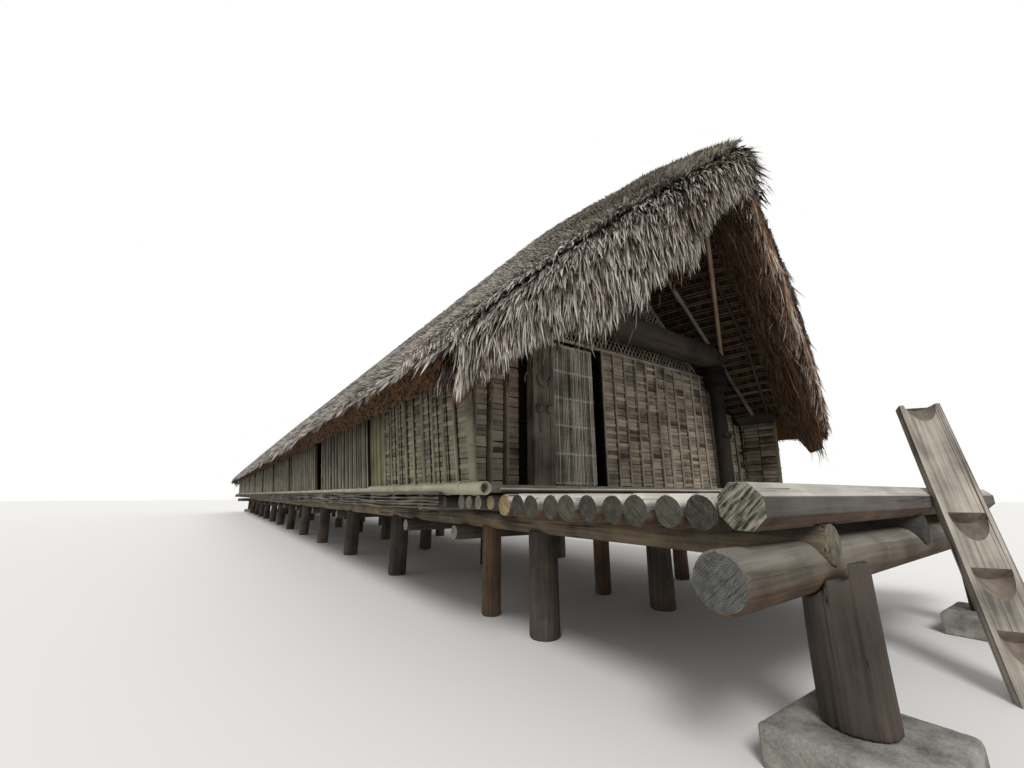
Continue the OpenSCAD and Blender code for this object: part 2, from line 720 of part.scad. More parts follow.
// Bamboo struts from the ends of the roof plates up to the ridge of the prow
module prow_struts() {
    y0 = plate_end - strut_d / 2;
    y1 = y0 + 500;
    z1 = under_z(0, y1) - rafter_h - ridge_pole_h * 0.8;
    color("khaki") both_ends() for (s = [-1, 1]) difference() {
        strut([s * plate_x, -y0, plate_z], [s * (ridge_pole_w / 2 + 10), -y1, z1], strut_d);
        translate([-wall_x, -y0 - house_w / 2, plate_z + plate_d / 2 - house_w])
            cube([house_w, house_w, house_w]);
    }
}
module strut(a, b, d) {
    v = b - a;
    l = norm(v);
    translate(a) rotate([0, acos(v[2] / l), atan2(v[1], v[0])]) cylinder(h = l, d = d, $fn = steps_n);
}

// Thick thatch of one slope, with the fringe that hangs under each verge
function thatch_section(k) = concat(
    [for (t = shares) let (y = station_y(k, t, false)) [over_x(t), y, over_z(t, y)]],
    [for (i = [slope_n : -1 : 0]) let (t = shares[i], y = station_y(k, t, true))
        [under_x(t), y, under_z(t, y) - fringe(t, edge_index(k))]]);
module thatch() {
    loft([for (k = [0 : 2 * stations_n - 1]) thatch_section(k)]);
}
module thatch_left() { color("gray") mirror([1, 0, 0]) thatch(); }
module thatch_right() { color("gray") thatch(); }

// Roll of thatch laid over the ridge
module ridge_half() {
    t1 = shares[1];
    loft([for (k = [0 : 2 * stations_n - 1])
        let (y0 = station_y(k, 0, false), y1 = station_y(k, t1, false))
        [[0, y0, over_z(0, y0)], [over_x(t1), y1, over_z(t1, y1)],
         [over_x(t1) * 0.96, y1, over_z(t1, y1) + 16], [0, y0, over_z(0, y0) + cap_h]]], true);
}
module ridge_thatch() {
    color("dimgray") union() {
        ridge_half();
        mirror([1, 0, 0]) ridge_half();
    }
}

footings();
deck_posts();
carrier_logs();
floor_beam_left();
floor_beam_middle();
floor_beam_right();
stilts_left();
stilts_middle();
stilts_right();
cross_logs();
floor_joists();
bamboo_floor();
deck_logs_front();
deck_logs_rear();
edge_logs();
ladders();
sill_rails();
side_wall_left();
side_wall_right();
window_mats();
corner_poles();
wing_walls();
front_wall();
rear_wall();
front_door();
rear_door();
gable_rails();
gable_lattices();
plank_posts();
pot_posts();
inner_posts();
tie_beams_end();
tie_beams_inner();
roof_plates();
eave_plates();
king_posts();
ridge_pole();
rafters_left();
rafters_right();
prow_struts();
thatch_left();
thatch_right();
ridge_thatch();
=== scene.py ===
"""Looks of a half-size stilt longhouse: grass thatch, bamboo mats, log decks and a plain studio."""

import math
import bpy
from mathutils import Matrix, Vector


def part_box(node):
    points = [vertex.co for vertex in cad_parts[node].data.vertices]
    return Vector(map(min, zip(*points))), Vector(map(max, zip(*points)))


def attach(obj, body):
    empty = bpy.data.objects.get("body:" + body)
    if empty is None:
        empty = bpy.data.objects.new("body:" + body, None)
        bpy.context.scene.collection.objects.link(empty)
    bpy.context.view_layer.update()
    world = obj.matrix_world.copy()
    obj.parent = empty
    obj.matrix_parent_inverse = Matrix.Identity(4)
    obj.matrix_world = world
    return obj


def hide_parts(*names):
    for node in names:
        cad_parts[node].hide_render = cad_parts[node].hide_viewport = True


bl_info = {
    "name": "Stilt Longhouse Looks",
    "version": (1, 0, 0),
    "blender": (4, 5, 0),
    "location": "View3D > Sidebar > Longhouse",
    "description": "Builds the thatch, mats, logs and studio round the longhouse frame",
    "category": "Object",
}

from functools import cache

import bpy
import numpy as np
from bpy.props import FloatProperty, FloatVectorProperty, IntProperty, PointerProperty
from mathutils import Vector

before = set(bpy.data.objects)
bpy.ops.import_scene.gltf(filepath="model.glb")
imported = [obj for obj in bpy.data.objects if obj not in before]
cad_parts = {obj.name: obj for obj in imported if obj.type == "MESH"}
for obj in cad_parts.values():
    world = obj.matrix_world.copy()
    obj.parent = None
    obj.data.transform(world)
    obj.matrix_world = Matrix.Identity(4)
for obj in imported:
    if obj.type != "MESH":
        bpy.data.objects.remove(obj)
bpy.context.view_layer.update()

HOUSE = "house"
DOOR = "front_door"
SIDES = ((-1, "left"), (1, "right"))
ENDS = ((-1, "front"), (1, "rear"))
X, Y, Z = np.eye(3)

# Roof lines shared with the part's source, in metres
RIDGE_TOP, RIDGE_UNDER = 3.290, 3.025
EAVE_X, EAVE_TOP = 1.76, 1.325
TIP_X, TIP_Z = 1.695, 1.175
KNEE_X, KNEE_Z = 0.985, 1.955
LIP_X, LIP_Z = 1.610, 1.379
VERGE_Y, DIP_START, DIP = 10.105, 7.88, 0.43
RAKE, BOW, CAMBER = 0.35, 0.06, 0.026
THICK = 0.265

# How far the fringe hangs, at shares of the way from the ridge to the eave
HANG_SHARES = (0.0, 0.1, 0.2, 0.33, 0.6, 0.7, 0.8, 1.0)
HANG = (0.30, 0.34, 0.42, 0.58, 0.58, 0.50, 0.40, 0.30)

# Grass may stand out this far sideways before it bends down
DROOP_X = 1.785

# Floor, beams and frames shared with the part's source
FLOOR_Z, BEAM_TOP, BEAM_Z = 0.745, 0.619, 0.56
ROW_X, FRAME_Y, END_Y, HALL_Y = 0.97, 9.27, 10.625, 9.435
WALL_BACK_Y = 9.141
PORCH_BAY = 2.12
INNER_FRAMES = 10


def xyz(x, y, z):
    """Places or directions from three rows of numbers, of which some may be single numbers."""
    return np.stack(np.broadcast_arrays(x, y, z), axis=-1)


def unit(v):
    """Directions of length one."""
    return v / np.linalg.norm(v, axis=-1, keepdims=True)


def placed(v, end):
    """A place or direction at the front, turned half round where it belongs to the rear."""
    return np.array(v, float) * (-end, -end, 1)


def ridge_drop(y):
    """Fall of the ridge towards the tip of each prow."""
    past = np.maximum(0.0, np.abs(y) - DIP_START) / (VERGE_Y - DIP_START)
    return DIP * past**2


def top_z(t, y):
    """Outer thatch surface at slope share t, 0 at the ridge and 1 at the eave."""
    return (RIDGE_TOP - ridge_drop(y)) * (1 - t) + EAVE_TOP * t + CAMBER * 4 * t * (1 - t)


def under_z(x, y):
    """Underside of the thatch at distance x from the ridge line."""
    knee = KNEE_Z - 0.4 * np.maximum(0.0, ridge_drop(y) - ridge_drop(FRAME_Y + 0.2))
    high = RIDGE_UNDER - ridge_drop(y)
    upper = high + (knee - high) * x / KNEE_X
    lower = knee + (LIP_Z - knee) * (x - KNEE_X) / (LIP_X - KNEE_X)
    lip = LIP_Z + (TIP_Z - LIP_Z) * (x - LIP_X) / (TIP_X - LIP_X)
    return np.where(x < KNEE_X, upper, np.where(x < LIP_X, lower, lip))


def verge_y(t):
    """Distance of the verge from the middle of the house at slope share t."""
    return VERGE_Y - RAKE * t + BOW * 4 * t * (1 - t)


def slope(side, t, y):
    """Places on the outer thatch, with their directions down the slope and out of it."""
    place = xyz(side * t * EAVE_X, y, top_z(t, y))
    ahead = xyz(side * (t + 0.02) * EAVE_X, y, top_z(t + 0.02, y))
    fall = unit(ahead - place)
    return place, fall, unit(xyz(-fall[:, 2] * side, 0.0, np.abs(fall[:, 0])))


def droop(tip):
    """Tips that stand out past the eave, bent down towards the wall."""
    past = np.maximum(0.0, np.abs(tip[:, 0]) - DROOP_X)
    return tip - xyz(np.sign(tip[:, 0]) * 0.55 * past, 0.0, 0.4 * past)


def inner_frames():
    """Places of the frames between the two porches, along the house."""
    reach = FRAME_Y - PORCH_BAY
    return [-reach + i * 2 * reach / (INNER_FRAMES - 1) for i in range(INNER_FRAMES)]


def lattice_noise(place, seed):
    """Smooth noise from -1 to 1 at each place, one cell a unit."""
    cell = np.floor(place).astype(np.int64)
    part = place - cell
    part = part * part * (3 - 2 * part)
    total = np.zeros(len(place))
    for corner in range(8):
        step = np.array([corner & 1, corner >> 1 & 1, corner >> 2 & 1])
        key = (cell + step) @ np.array([73856093, 19349663, 83492791]) + seed * 2654435761
        key = (key ^ (key >> 13)) * 1274126177 & 0x7FFFFFFF
        key = (key ^ (key >> 16)) & 0xFFFF
        weight = np.prod(np.where(step, part, 1 - part), axis=1)
        total += weight * (key / 32767.5 - 1)
    return total


def net(rows, columns, closed=True):
    """Faces of a net of vertices, row after row; a closed one joins its last and first columns."""
    last = columns if closed else columns - 1
    i, j = np.meshgrid(np.arange(rows - 1), np.arange(last), indexing="ij")
    near, far = i * columns, (i + 1) * columns
    beside = (j + 1) % columns
    return np.stack([near + j, near + beside, far + beside, far + j], axis=-1).reshape(-1, 4)


# Making of pieces


class Parts:
    """Gathers the vertices and faces of one piece, with a tone and a grain place at each vertex."""

    def __init__(self):
        self.co, self.tone, self.grain, self.loops, self.sizes, self.slots = [], [], [], [], [], []
        self.count = 0

    def add(self, co, *faces, tone, grain=None, slot=0):
        """Adds vertices, and groups of faces that count from the first of them."""
        co = np.asarray(co, float).reshape(-1, 3)
        self.co.append(co)
        self.tone.append(np.broadcast_to(np.asarray(tone, float).ravel(), (len(co),)))
        self.grain.append(co if grain is None else np.asarray(grain, float).reshape(-1, 3))
        for group in faces:
            group = np.asarray(group, int)
            self.loops.append((group + self.count).ravel())
            self.sizes.append(np.full(len(group), group.shape[1]))
            self.slots.append(np.full(len(group), slot))
        self.count += len(co)

    def build(self, name, finish, smooth=False):
        """Makes the piece from all that was added; its slots have these finishes."""
        co = np.concatenate(self.co)
        loops = np.concatenate(self.loops)
        sizes = np.concatenate(self.sizes)
        mesh = bpy.data.meshes.new(name)
        mesh.vertices.add(len(co))
        mesh.vertices.foreach_set("co", co.ravel())
        mesh.loops.add(len(loops))
        mesh.loops.foreach_set("vertex_index", loops)
        mesh.polygons.add(len(sizes))
        mesh.polygons.foreach_set("loop_start", np.concatenate([[0], np.cumsum(sizes)[:-1]]))
        mesh.polygons.foreach_set("material_index", np.concatenate(self.slots))
        mesh.polygons.foreach_set("use_smooth", np.full(len(sizes), smooth))
        mesh.update(calc_edges=True)
        for key in finish:
            mesh.materials.append(finishes()[key])
        return shown(name, mesh, np.concatenate(self.tone), np.concatenate(self.grain))


def shown(name, mesh, tone, grain):
    """Puts a mesh into the scene, with the tone and the grain place that its materials read."""
    mesh.attributes.new("tone", "FLOAT", "POINT").data.foreach_set("value", tone)
    mesh.attributes.new("grain", "FLOAT_VECTOR", "POINT").data.foreach_set("vector", grain.ravel())
    piece = bpy.data.objects.new(name, mesh)
    bpy.context.scene.collection.objects.link(piece)
    return piece


def settle(piece, body, nodes=()):
    """Makes a piece ride on its body, and hides the nodes that it stands for."""
    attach(piece, body)
    if nodes:
        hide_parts(*nodes)


def dress(node, finish):
    """Gives a node that keeps its own shape a finish."""
    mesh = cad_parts[node].data
    mesh.materials.clear()
    mesh.materials.append(finishes()[finish])


def tufts(parts, base, tip, side, width, tone, slot=0, root=1.0):
    """Pointed tufts, each one triangle from a broad root to its pale tip, the root darkened as
    painted shade where the tuft goes into the thatch.

    A low root value keeps the root pale, with less of that painted shade."""
    half = side * (width * 0.5)[:, None]
    co = np.stack([base - half, base + half, tip], axis=1)
    tones = tone[:, None] + xyz(-0.42 * root, -0.3 * root, np.full_like(tone, 0.3))
    faces = np.arange(len(base) * 3).reshape(-1, 3)
    parts.add(co, faces, tone=tones, slot=slot)


def strands(parts, path, face, width, tone, slot):
    """Grass strands that follow the places of their path and run out to a point."""
    n, k = path.shape[:2]
    run = np.empty_like(path)
    run[:, 1:-1] = path[:, 2:] - path[:, :-2]
    run[:, 0], run[:, -1] = path[:, 1] - path[:, 0], path[:, -1] - path[:, -2]
    side = unit(np.cross(run, face[:, None]))
    share = np.linspace(0, 1, k)
    half = side[:, :-1] * (width[:, None] * (0.5 - 0.28 * share[:-1]))[..., None]
    pairs = np.stack([path[:, :-1] - half, path[:, :-1] + half], axis=2).reshape(n, -1, 3)
    co = np.concatenate([pairs, path[:, -1:]], axis=1)
    row = 2 * k - 1
    first = np.arange(n)[:, None] * row
    step = first + np.arange(k - 2)[None] * 2
    quads = np.stack([step, step + 1, step + 3, step + 2], axis=-1).reshape(-1, 4)
    last = first[:, 0] + row - 3
    tips = np.stack([last, last + 1, last + 2], axis=-1)
    # Darker at the start, painted shade where the strand leaves the thatch, and paler towards its
    # tip
    tones = tone[:, None] + 0.3 * (np.append(np.repeat(share[:-1], 2), 1.0) - 0.5)
    parts.add(co, quads, tips, tone=tones, slot=slot)


def across(axis):
    """Two directions at right angles to an axis, the first as level as it can be."""
    axis = Vector(axis).normalized()
    up = Vector(Z) if abs(axis.z) < 0.9 else Vector(Y)
    u = up.cross(axis).normalized()
    return np.array(u), np.array(axis.cross(u).normalized())


def log(parts, a, b, ra, rb, seed, sides, rough, step, top=None, tone=None, slot=0, ends=1):
    """Round timber from a to b with an uneven surface, worn rims and sawn ends.

    A top cuts it flat at that height."""
    rng = np.random.default_rng(seed)
    a, b = np.array(a, float), np.array(b, float)
    length = np.linalg.norm(b - a)
    axis = (b - a) / length
    u, v = across(axis)
    rim = min(0.012, length * 0.1)
    inner = np.linspace(rim, length - rim, max(2, int(length / step) + 1))
    s = np.concatenate([[0.0], inner, [length]])
    angle = np.linspace(0, 2 * math.pi, sides, endpoint=False)
    phase = rng.uniform(0, 2 * math.pi, 6)
    grid_s, grid_a = np.meshgrid(s, angle, indexing="ij")
    wave = 0.5 * np.sin(2 * grid_a + phase[0] + grid_s * 1.7)
    wave += 0.35 * np.sin(3 * grid_a + phase[1] - grid_s * 2.9)
    wave += 0.3 * np.sin(5 * grid_a + phase[2] + grid_s * 5.1)
    wave += 0.4 * np.sin(grid_s * 4.3 + phase[3])
    radius = (ra + (rb - ra) * grid_s / length) * (1 + rough * (wave - 0.5))
    radius[[0, -1]] *= 0.9
    ring = np.cos(grid_a)[..., None] * u + np.sin(grid_a)[..., None] * v
    co = a + axis * grid_s[..., None] + ring * radius[..., None]
    if top is not None:
        co[..., 2] = np.minimum(co[..., 2], top)
    offset = rng.uniform(0, 50)
    grain = xyz(grid_s + offset, radius * np.cos(grid_a), radius * np.sin(grid_a))
    tone = rng.uniform(0.2, 0.8) if tone is None else tone
    parts.add(co, net(len(s), sides), tone=tone, grain=grain, slot=slot)
    band = net(2, sides)
    j = np.arange(sides)
    fan = xyz(sides + j, sides + (j + 1) % sides, 2 * sides)
    for k, turn in ((0, -1), (-1, 1)):
        rimmed = co[k]
        middle = rimmed.mean(axis=0) + axis * turn * rng.uniform(-0.002, 0.003)
        halfway = (rimmed + middle) / 2 + axis * turn * 0.001
        disc = np.concatenate([rimmed, halfway, middle[None]])
        local = xyz(offset, radius[k] * np.cos(angle), radius[k] * np.sin(angle))
        marks = np.concatenate([local, local * [1, 0.5, 0.5], [[offset, 0, 0]]])
        parts.add(disc, band[:, ::turn], fan[:, ::turn], tone=tone, grain=marks, slot=ends)


# Swollen ring of a joint: distances along the pole, and shares of its radius
JOINT = ((-0.012, 0.97), (-0.002, 1.1), (0.002, 1.06), (0.012, 0.97))


def culm(parts, a, b, r, seed, joint, sides, tone=None, open_ends=True):
    """Bamboo pole from a to b, with a swollen ring at each joint and hollow ends."""
    rng = np.random.default_rng(seed)
    a, b = np.array(a, float), np.array(b, float)
    length = np.linalg.norm(b - a)
    axis = (b - a) / length
    u, v = across(axis)
    s, swell = [0.0], [1.0]
    for p in np.arange(rng.uniform(0.2, 0.8) * joint, length, joint * rng.uniform(0.9, 1.1)):
        if 0.03 < p < length - 0.03:
            s += [p + off for off, _ in JOINT]
            swell += [size for _, size in JOINT]
    s, swell = np.array(s + [length]), np.array(swell + [1.0])
    angle = np.linspace(0, 2 * math.pi, sides, endpoint=False)
    ring = np.cos(angle)[:, None] * u + np.sin(angle)[:, None] * v
    co = a + axis * s[:, None, None] + ring[None] * (r * swell)[:, None, None]
    tone = rng.uniform(0.25, 0.75) if tone is None else tone
    grain = xyz((s + rng.uniform(0, 50))[:, None], r * np.cos(angle), r * np.sin(angle))
    parts.add(co, net(len(s), sides), tone=tone, grain=grain)
    band = net(3, sides)
    j = np.arange(sides)
    fan = xyz(2 * sides + j, 2 * sides + (j + 1) % sides, 3 * sides)
    for p, turn in ((a, 1), (b, -1)):
        wall = p + ring * r * (0.78 if open_ends else 0.5)
        deep = wall + axis * turn * (0.05 if open_ends else 0.0)
        shell = np.concatenate([p + ring * r, wall, deep, deep.mean(axis=0)[None]])
        # An open end's cut rim and inner wall are a little darker and the floor of its hollow
        # darker still: painted shade down the hollow. A closed end is darker on its cut face, most
        # in the middle.
        parts.add(shell, band[:, ::-turn], tone=tone - 0.2)
        parts.add(shell, fan[:, ::-turn], tone=tone - 0.4)


LASHING_TURNS = 3


def lashing(parts, centre, axis, r, wire, tone):
    """Rattan binding: a few rings wound side by side round a pole."""
    u, v = across(axis)
    axis = np.array(Vector(axis).normalized())
    angle = np.linspace(0, 2 * math.pi, 12, endpoint=False)
    tube = np.linspace(0, 2 * math.pi, 5, endpoint=False)
    faces = np.roll(net(13, 5)[:, ::-1], 1, axis=1) % 60
    ring = np.cos(angle)[:, None] * u + np.sin(angle)[:, None] * v
    outward = ring[:, None] * (r + wire * np.cos(tube))[None, :, None]
    sideways = axis * (wire * np.sin(tube))[None, :, None]
    for i in range(LASHING_TURNS):
        place = np.array(centre) + axis * (i - (LASHING_TURNS - 1) / 2) * wire * 2
        parts.add(place + outward + sideways, faces, tone=tone)


def mat(
    parts, origin, along, up, out, length, height, cell, strip, seed,
    upright=False, gap=0.002, seam=0.0, stagger=0.0, slot=0,
):
    """Flattened bamboo strips woven over and under, on a panel that starts at origin."""
    rng = np.random.default_rng(seed)
    origin, along, up, out = (np.array(v, float) for v in (origin, along, up, out))
    cols = max(1, round(length / cell))
    rows = max(1, round(height / strip))
    i, j = np.meshgrid(np.arange(cols), np.arange(rows), indexing="ij")
    i, j = i.ravel(), j.ravel()
    n, loose = len(i), strip * (rows > 1)
    a0, a1 = i * length / cols + seam, (i + 1) * length / cols - seam
    pitch = height / rows
    shift = stagger * pitch * (i % 2) + rng.normal(0, 0.05, n) * loose
    h0 = np.clip(j * pitch + gap + shift, 0, height)
    h1 = np.clip((j + 1) * pitch - gap + shift + rng.normal(0, 0.03, n) * loose, 0, height)
    rise = 0.0015 + 0.0025 * ((i + j) % 2) + rng.uniform(0, 0.0012, n)
    tilt = rng.normal(0, 0.04, n) * loose
    co, grain = np.zeros((n, 6, 3)), np.zeros((n, 6, 3))
    tone = rng.uniform(-0.22, 0.22, rows)[j] + rng.normal(0, 0.2, n)
    far = rng.uniform(0, 9, n)
    for k, (h, bulge) in enumerate(((h0, 0.0), ((h0 + h1) / 2, 0.0018), (h1, 0.0))):
        for m, a in enumerate((a0, a1)):
            level = np.clip(h + tilt * (m - 0.5), 0, height)
            place = origin + a[:, None] * along + level[:, None] * up
            co[:, k * 2 + m] = place + (rise + bulge)[:, None] * out
            grain[:, k * 2 + m] = xyz(h + far, a, 0.0) if upright else xyz(a, h + far, 0.0)
    first = np.arange(n)[:, None] * 6
    faces = np.concatenate([first + [0, 1, 3, 2], first + [2, 3, 5, 4]])
    if np.dot(np.cross(along, up), out) < 0:
        faces = faces[:, ::-1]
    tone = np.repeat(np.clip(0.5 + tone, 0, 1), 6)
    parts.add(co, faces, tone=tone, grain=grain, slot=slot)


def batten(parts, foot, head, out, width, depth, seed, tone, slot):
    """Half-round split bamboo from foot to head, with its flat side to the wall."""
    foot, head, out = (np.array(v, float) for v in (foot, head, out))
    side = unit(np.cross(head - foot, out))
    rng = np.random.default_rng(seed)
    drift = np.cumsum(rng.normal(0, 0.0018, 5))
    s = np.linspace(0, 1, 5)[:, None, None]
    arc = np.linspace(0, math.pi, 5)
    wide, deep = np.cos(arc) * width / 2, np.sin(arc) * depth
    co = foot + (head - foot) * s + side * (wide[:, None] + drift[:, None, None])
    co = co + out * deep[:, None]
    run = s[..., 0] * np.linalg.norm(head - foot) + rng.uniform(0, 20)
    parts.add(co, net(5, 5, False), tone=tone, grain=xyz(run, wide, deep), slot=slot)


def bar(parts, a, b, out, width, depth, tone):
    """Flat split bar from a to b, its broad side facing out."""
    side = unit(np.cross(b - a, out)) * width / 2
    level = out * depth / 2
    ring = np.array([side + level, -side + level, -side - level, side - level])
    run = np.array([[0.0]] * 4 + [[np.linalg.norm(b - a)]] * 4)
    corners = np.tile([[1, 0], [-1, 0], [-1, 1], [1, 1]], (2, 1)) * width / 2
    grain = np.concatenate([run + tone * 40, corners], axis=1)
    co = np.concatenate([a + ring, b + ring])
    parts.add(co, net(2, 4)[:, ::-1], [[0, 1, 2, 3], [7, 6, 5, 4]], tone=tone, grain=grain)


# Grain axes of the carved pieces: along the grain first, then two across it
UPRIGHT = (Z, X, Y)
ACROSS = (X, Y, Z)
LADDER = ((0.262, 0.164, 0.951), (0.530, -0.848, 0.0), (0.807, 0.504, -0.309))


def vectors(items, name):
    """One vector for each vertex or polygon of a mesh."""
    values = np.zeros(len(items) * 3)
    items.foreach_get(name, values)
    return values.reshape(-1, 3)


def forward(v, place):
    """Vectors of pieces at the rear, turned half round to the front."""
    return np.where(place[:, 1:2] > 0, v * [-1, -1, 1], v)


def softened(node, voxel, bevel):
    """A copy of a node's mesh, remeshed at a voxel size or cleaned up and bevelled."""
    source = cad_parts[node].data.copy()
    shape = bpy.data.objects.new(node + "_source", source)
    bpy.context.scene.collection.objects.link(shape)
    if voxel:
        remesh = shape.modifiers.new("remesh", "REMESH")
        remesh.mode = "VOXEL"
        remesh.voxel_size = voxel
        shape.modifiers.new("soften", "SMOOTH").iterations = 1
    else:
        shape.modifiers.new("weld", "WELD").merge_threshold = 0.0001
        flatten = shape.modifiers.new("flatten", "DECIMATE")
        flatten.decimate_type = "DISSOLVE"
        flatten.angle_limit = math.radians(3)
        edges = shape.modifiers.new("edges", "BEVEL")
        edges.width = bevel
        edges.segments = 2
        edges.angle_limit = math.radians(40)
    ready = shape.evaluated_get(bpy.context.evaluated_depsgraph_get())
    mesh = bpy.data.meshes.new_from_object(ready)
    bpy.data.objects.remove(shape)
    bpy.data.meshes.remove(source)
    return mesh


def carved(node, name, finish, axes, heart=(0, 0, 0), voxel=0.0, wear=0.0, bevel=0.0, cut=0.85):
    """Copy of a node that knows its grain, with edges worn by a remesh or by a bevel.

    Faces turned towards the grain by more than the cut get the last finish.
    The axes and the heart are the grain's own, at the front."""
    mesh = softened(node, voxel, bevel)
    axes = np.array(axes, float)
    co, normal = vectors(mesh.vertices, "co"), vectors(mesh.vertices, "normal")
    grain = (forward(co, co) - heart) @ axes.T
    broad = lattice_noise(grain * [4, 12, 12], 5)
    if wear:
        fine = lattice_noise(grain * [6, 60, 60], 3)
        split = np.maximum(0, 1 - np.abs(lattice_noise(grain * [0.7, 26, 26], 9)) * 14)
        beside = np.clip(2 - 2 * np.abs(forward(normal, co) @ axes[0]), 0.2, 1)
        push = wear * ((0.5 * fine + 0.9 * broad - 1.6 * split) * beside - 0.6)
        mesh.vertices.foreach_set("co", (co + normal * push[:, None]).ravel())
    centres = vectors(mesh.polygons, "center")
    facing = forward(vectors(mesh.polygons, "normal"), centres)
    ends = np.abs(facing @ axes[0]) > cut
    mesh.materials.clear()
    for key in finish:
        mesh.materials.append(finishes()[key])
    indices = (ends * (len(finish) - 1)).astype(np.int32)
    mesh.polygons.foreach_set("material_index", indices)
    mesh.polygons.foreach_set("use_smooth", np.full(len(mesh.polygons), bool(voxel)))
    return shown(name, mesh, 0.5 + 0.3 * broad, grain)


# Node groups and materials


class Nodes:
    """Short way to place and join the nodes of one tree."""

    def __init__(self, tree):
        self.tree = tree

    def feed(self, socket, value):
        """Sets a socket to a number, a colour or a vector, or joins another socket to it."""
        if isinstance(value, bpy.types.NodeSocket):
            self.tree.links.new(value, socket)
        elif isinstance(value, tuple) and socket.type == "RGBA":
            socket.default_value = (*value, 1)
        else:
            socket.default_value = value

    def new(self, kind, **values):
        """Places a node; each value is one of its settings, or else feeds an input."""
        node = self.tree.nodes.new(kind)
        for key, value in values.items():
            if hasattr(node, key):
                setattr(node, key, value)
            else:
                self.feed(node.inputs[key.replace("_", " ")], value)
        return node

    def group(self, name, **values):
        """Places one of the shared groups and gives its outputs."""
        return self.new("ShaderNodeGroup", node_tree=groups()[name], **values).outputs

    def math(self, kind, a, b=None, clamp=False):
        """A sum on one value or two."""
        node = self.new("ShaderNodeMath", operation=kind, use_clamp=clamp)
        self.feed(node.inputs[0], a)
        if b is not None:
            self.feed(node.inputs[1], b)
        return node.outputs[0]

    def plus(self, a, b, clamp=False):
        """Both values together."""
        return self.math("ADD", a, b, clamp)

    def minus(self, a, b, clamp=False):
        """The first value less the second."""
        return self.math("SUBTRACT", a, b, clamp)

    def times(self, a, b, clamp=False):
        """One value times the other."""
        return self.math("MULTIPLY", a, b, clamp)

    def about(self, a, middle, share):
        """How far a value lies from the middle, times a share."""
        return self.times(self.minus(a, middle), share)

    def mix(self, factor, a, b, kind="MIX"):
        """Two colours mixed by a factor."""
        node = self.new("ShaderNodeMix", data_type="RGBA", blend_type=kind)
        for i, value in ((0, factor), (6, a), (7, b)):
            self.feed(node.inputs[i], value)
        return node.outputs[2]

    def ramp(self, factor, stops):
        """The colour of a factor, from places and their colours."""
        node = self.new("ShaderNodeValToRGB", Fac=factor)
        ramp = node.color_ramp
        while len(ramp.elements) < len(stops):
            ramp.elements.new(0.5)
        for element, (place, colour) in zip(ramp.elements, stops):
            element.position = place
            element.color = (*colour, 1)
        return node.outputs[0]

    def own_place(self):
        """Place in the piece's own space."""
        return self.new("ShaderNodeTexCoord").outputs["Object"]

    def grain_place(self):
        """Place along and across the grain, as the mesh holds it."""
        return self.new("ShaderNodeAttribute", attribute_name="grain").outputs["Vector"]

    def tone(self):
        """Tone that the mesh holds."""
        return self.new("ShaderNodeAttribute", attribute_name="tone").outputs["Fac"]

    def noise(self, vector, scale, detail=4.0, roughness=0.6):
        """Cloudy noise at a place."""
        values = {"Vector": vector, "Scale": scale, "Detail": detail, "Roughness": roughness}
        return self.new("ShaderNodeTexNoise", **values).outputs["Fac"]

    def stretch(self, vector, scale):
        """A place times a scale for each axis."""
        node = self.new("ShaderNodeVectorMath", operation="MULTIPLY")
        self.feed(node.inputs[0], vector)
        self.feed(node.inputs[1], scale)
        return node.outputs[0]

    def streaks(self, vector, scale, detail=4.0, roughness=0.6):
        """Noise drawn out along the first axis."""
        return self.noise(self.stretch(vector, scale), 1.0, detail, roughness)


def new_group(name, inputs, outputs):
    """An empty node group with these sockets, the way to fill it, and its two end nodes."""
    tree = bpy.data.node_groups.new(name, "ShaderNodeTree")
    for key, value in inputs.items():
        kind = "NodeSocketVector" if value is None else "NodeSocketFloat"
        item = tree.interface.new_socket(name=key, in_out="INPUT", socket_type=kind)
        if value is not None:
            item.default_value = value
    for key in outputs:
        tree.interface.new_socket(name=key, in_out="OUTPUT", socket_type="NodeSocketFloat")
    n = Nodes(tree)
    return n, n.new("NodeGroupInput").outputs, n.new("NodeGroupOutput").inputs


def grain_group():
    """Streaks and drying cracks that run along the first axis of the grain place."""
    inputs = {"Place": None, "Crack width": 0.5}
    n, given, result = new_group("Timber grain", inputs, ("Streak", "Crack", "Height"))
    place = given["Place"]
    fine = n.streaks(place, (3, 90, 90), 5.0)
    broad = n.streaks(place, (1.5, 22, 22), 3.0)
    streak = n.plus(n.times(fine, 0.55), n.times(broad, 0.45))
    split = n.streaks(place, (0.4, 34, 34), 2.0, 0.5)
    line = n.math("ABSOLUTE", n.minus(split, 0.5))
    wide = n.times(given["Crack width"], 0.03)
    crack = n.minus(1.0, n.math("DIVIDE", line, wide), True)
    gate = n.math("GREATER_THAN", n.streaks(place, (1.3, 11, 11), 2.0), 0.5)
    crack = n.times(crack, gate)
    n.feed(result["Streak"], streak)
    n.feed(result["Crack"], crack)
    n.feed(result["Height"], n.minus(streak, crack))
    return n.tree


def weather_group():
    """Cloudy patches of bleaching and dirt, with fine specks, in the piece's own space."""
    n, given, result = new_group("Weather patches", {"Scale": 3.0}, ("Patch", "Speck"))
    scaled = n.new("ShaderNodeVectorMath", operation="SCALE", Scale=given["Scale"])
    n.feed(scaled.inputs[0], n.own_place())
    patch = n.noise(scaled.outputs[0], 1.0, 5.0, 0.55)
    n.feed(result["Patch"], n.times(n.minus(patch, 0.3), 2.5, True))
    n.feed(result["Speck"], n.noise(scaled.outputs[0], 14.0, 3.0, 0.7))
    return n.tree


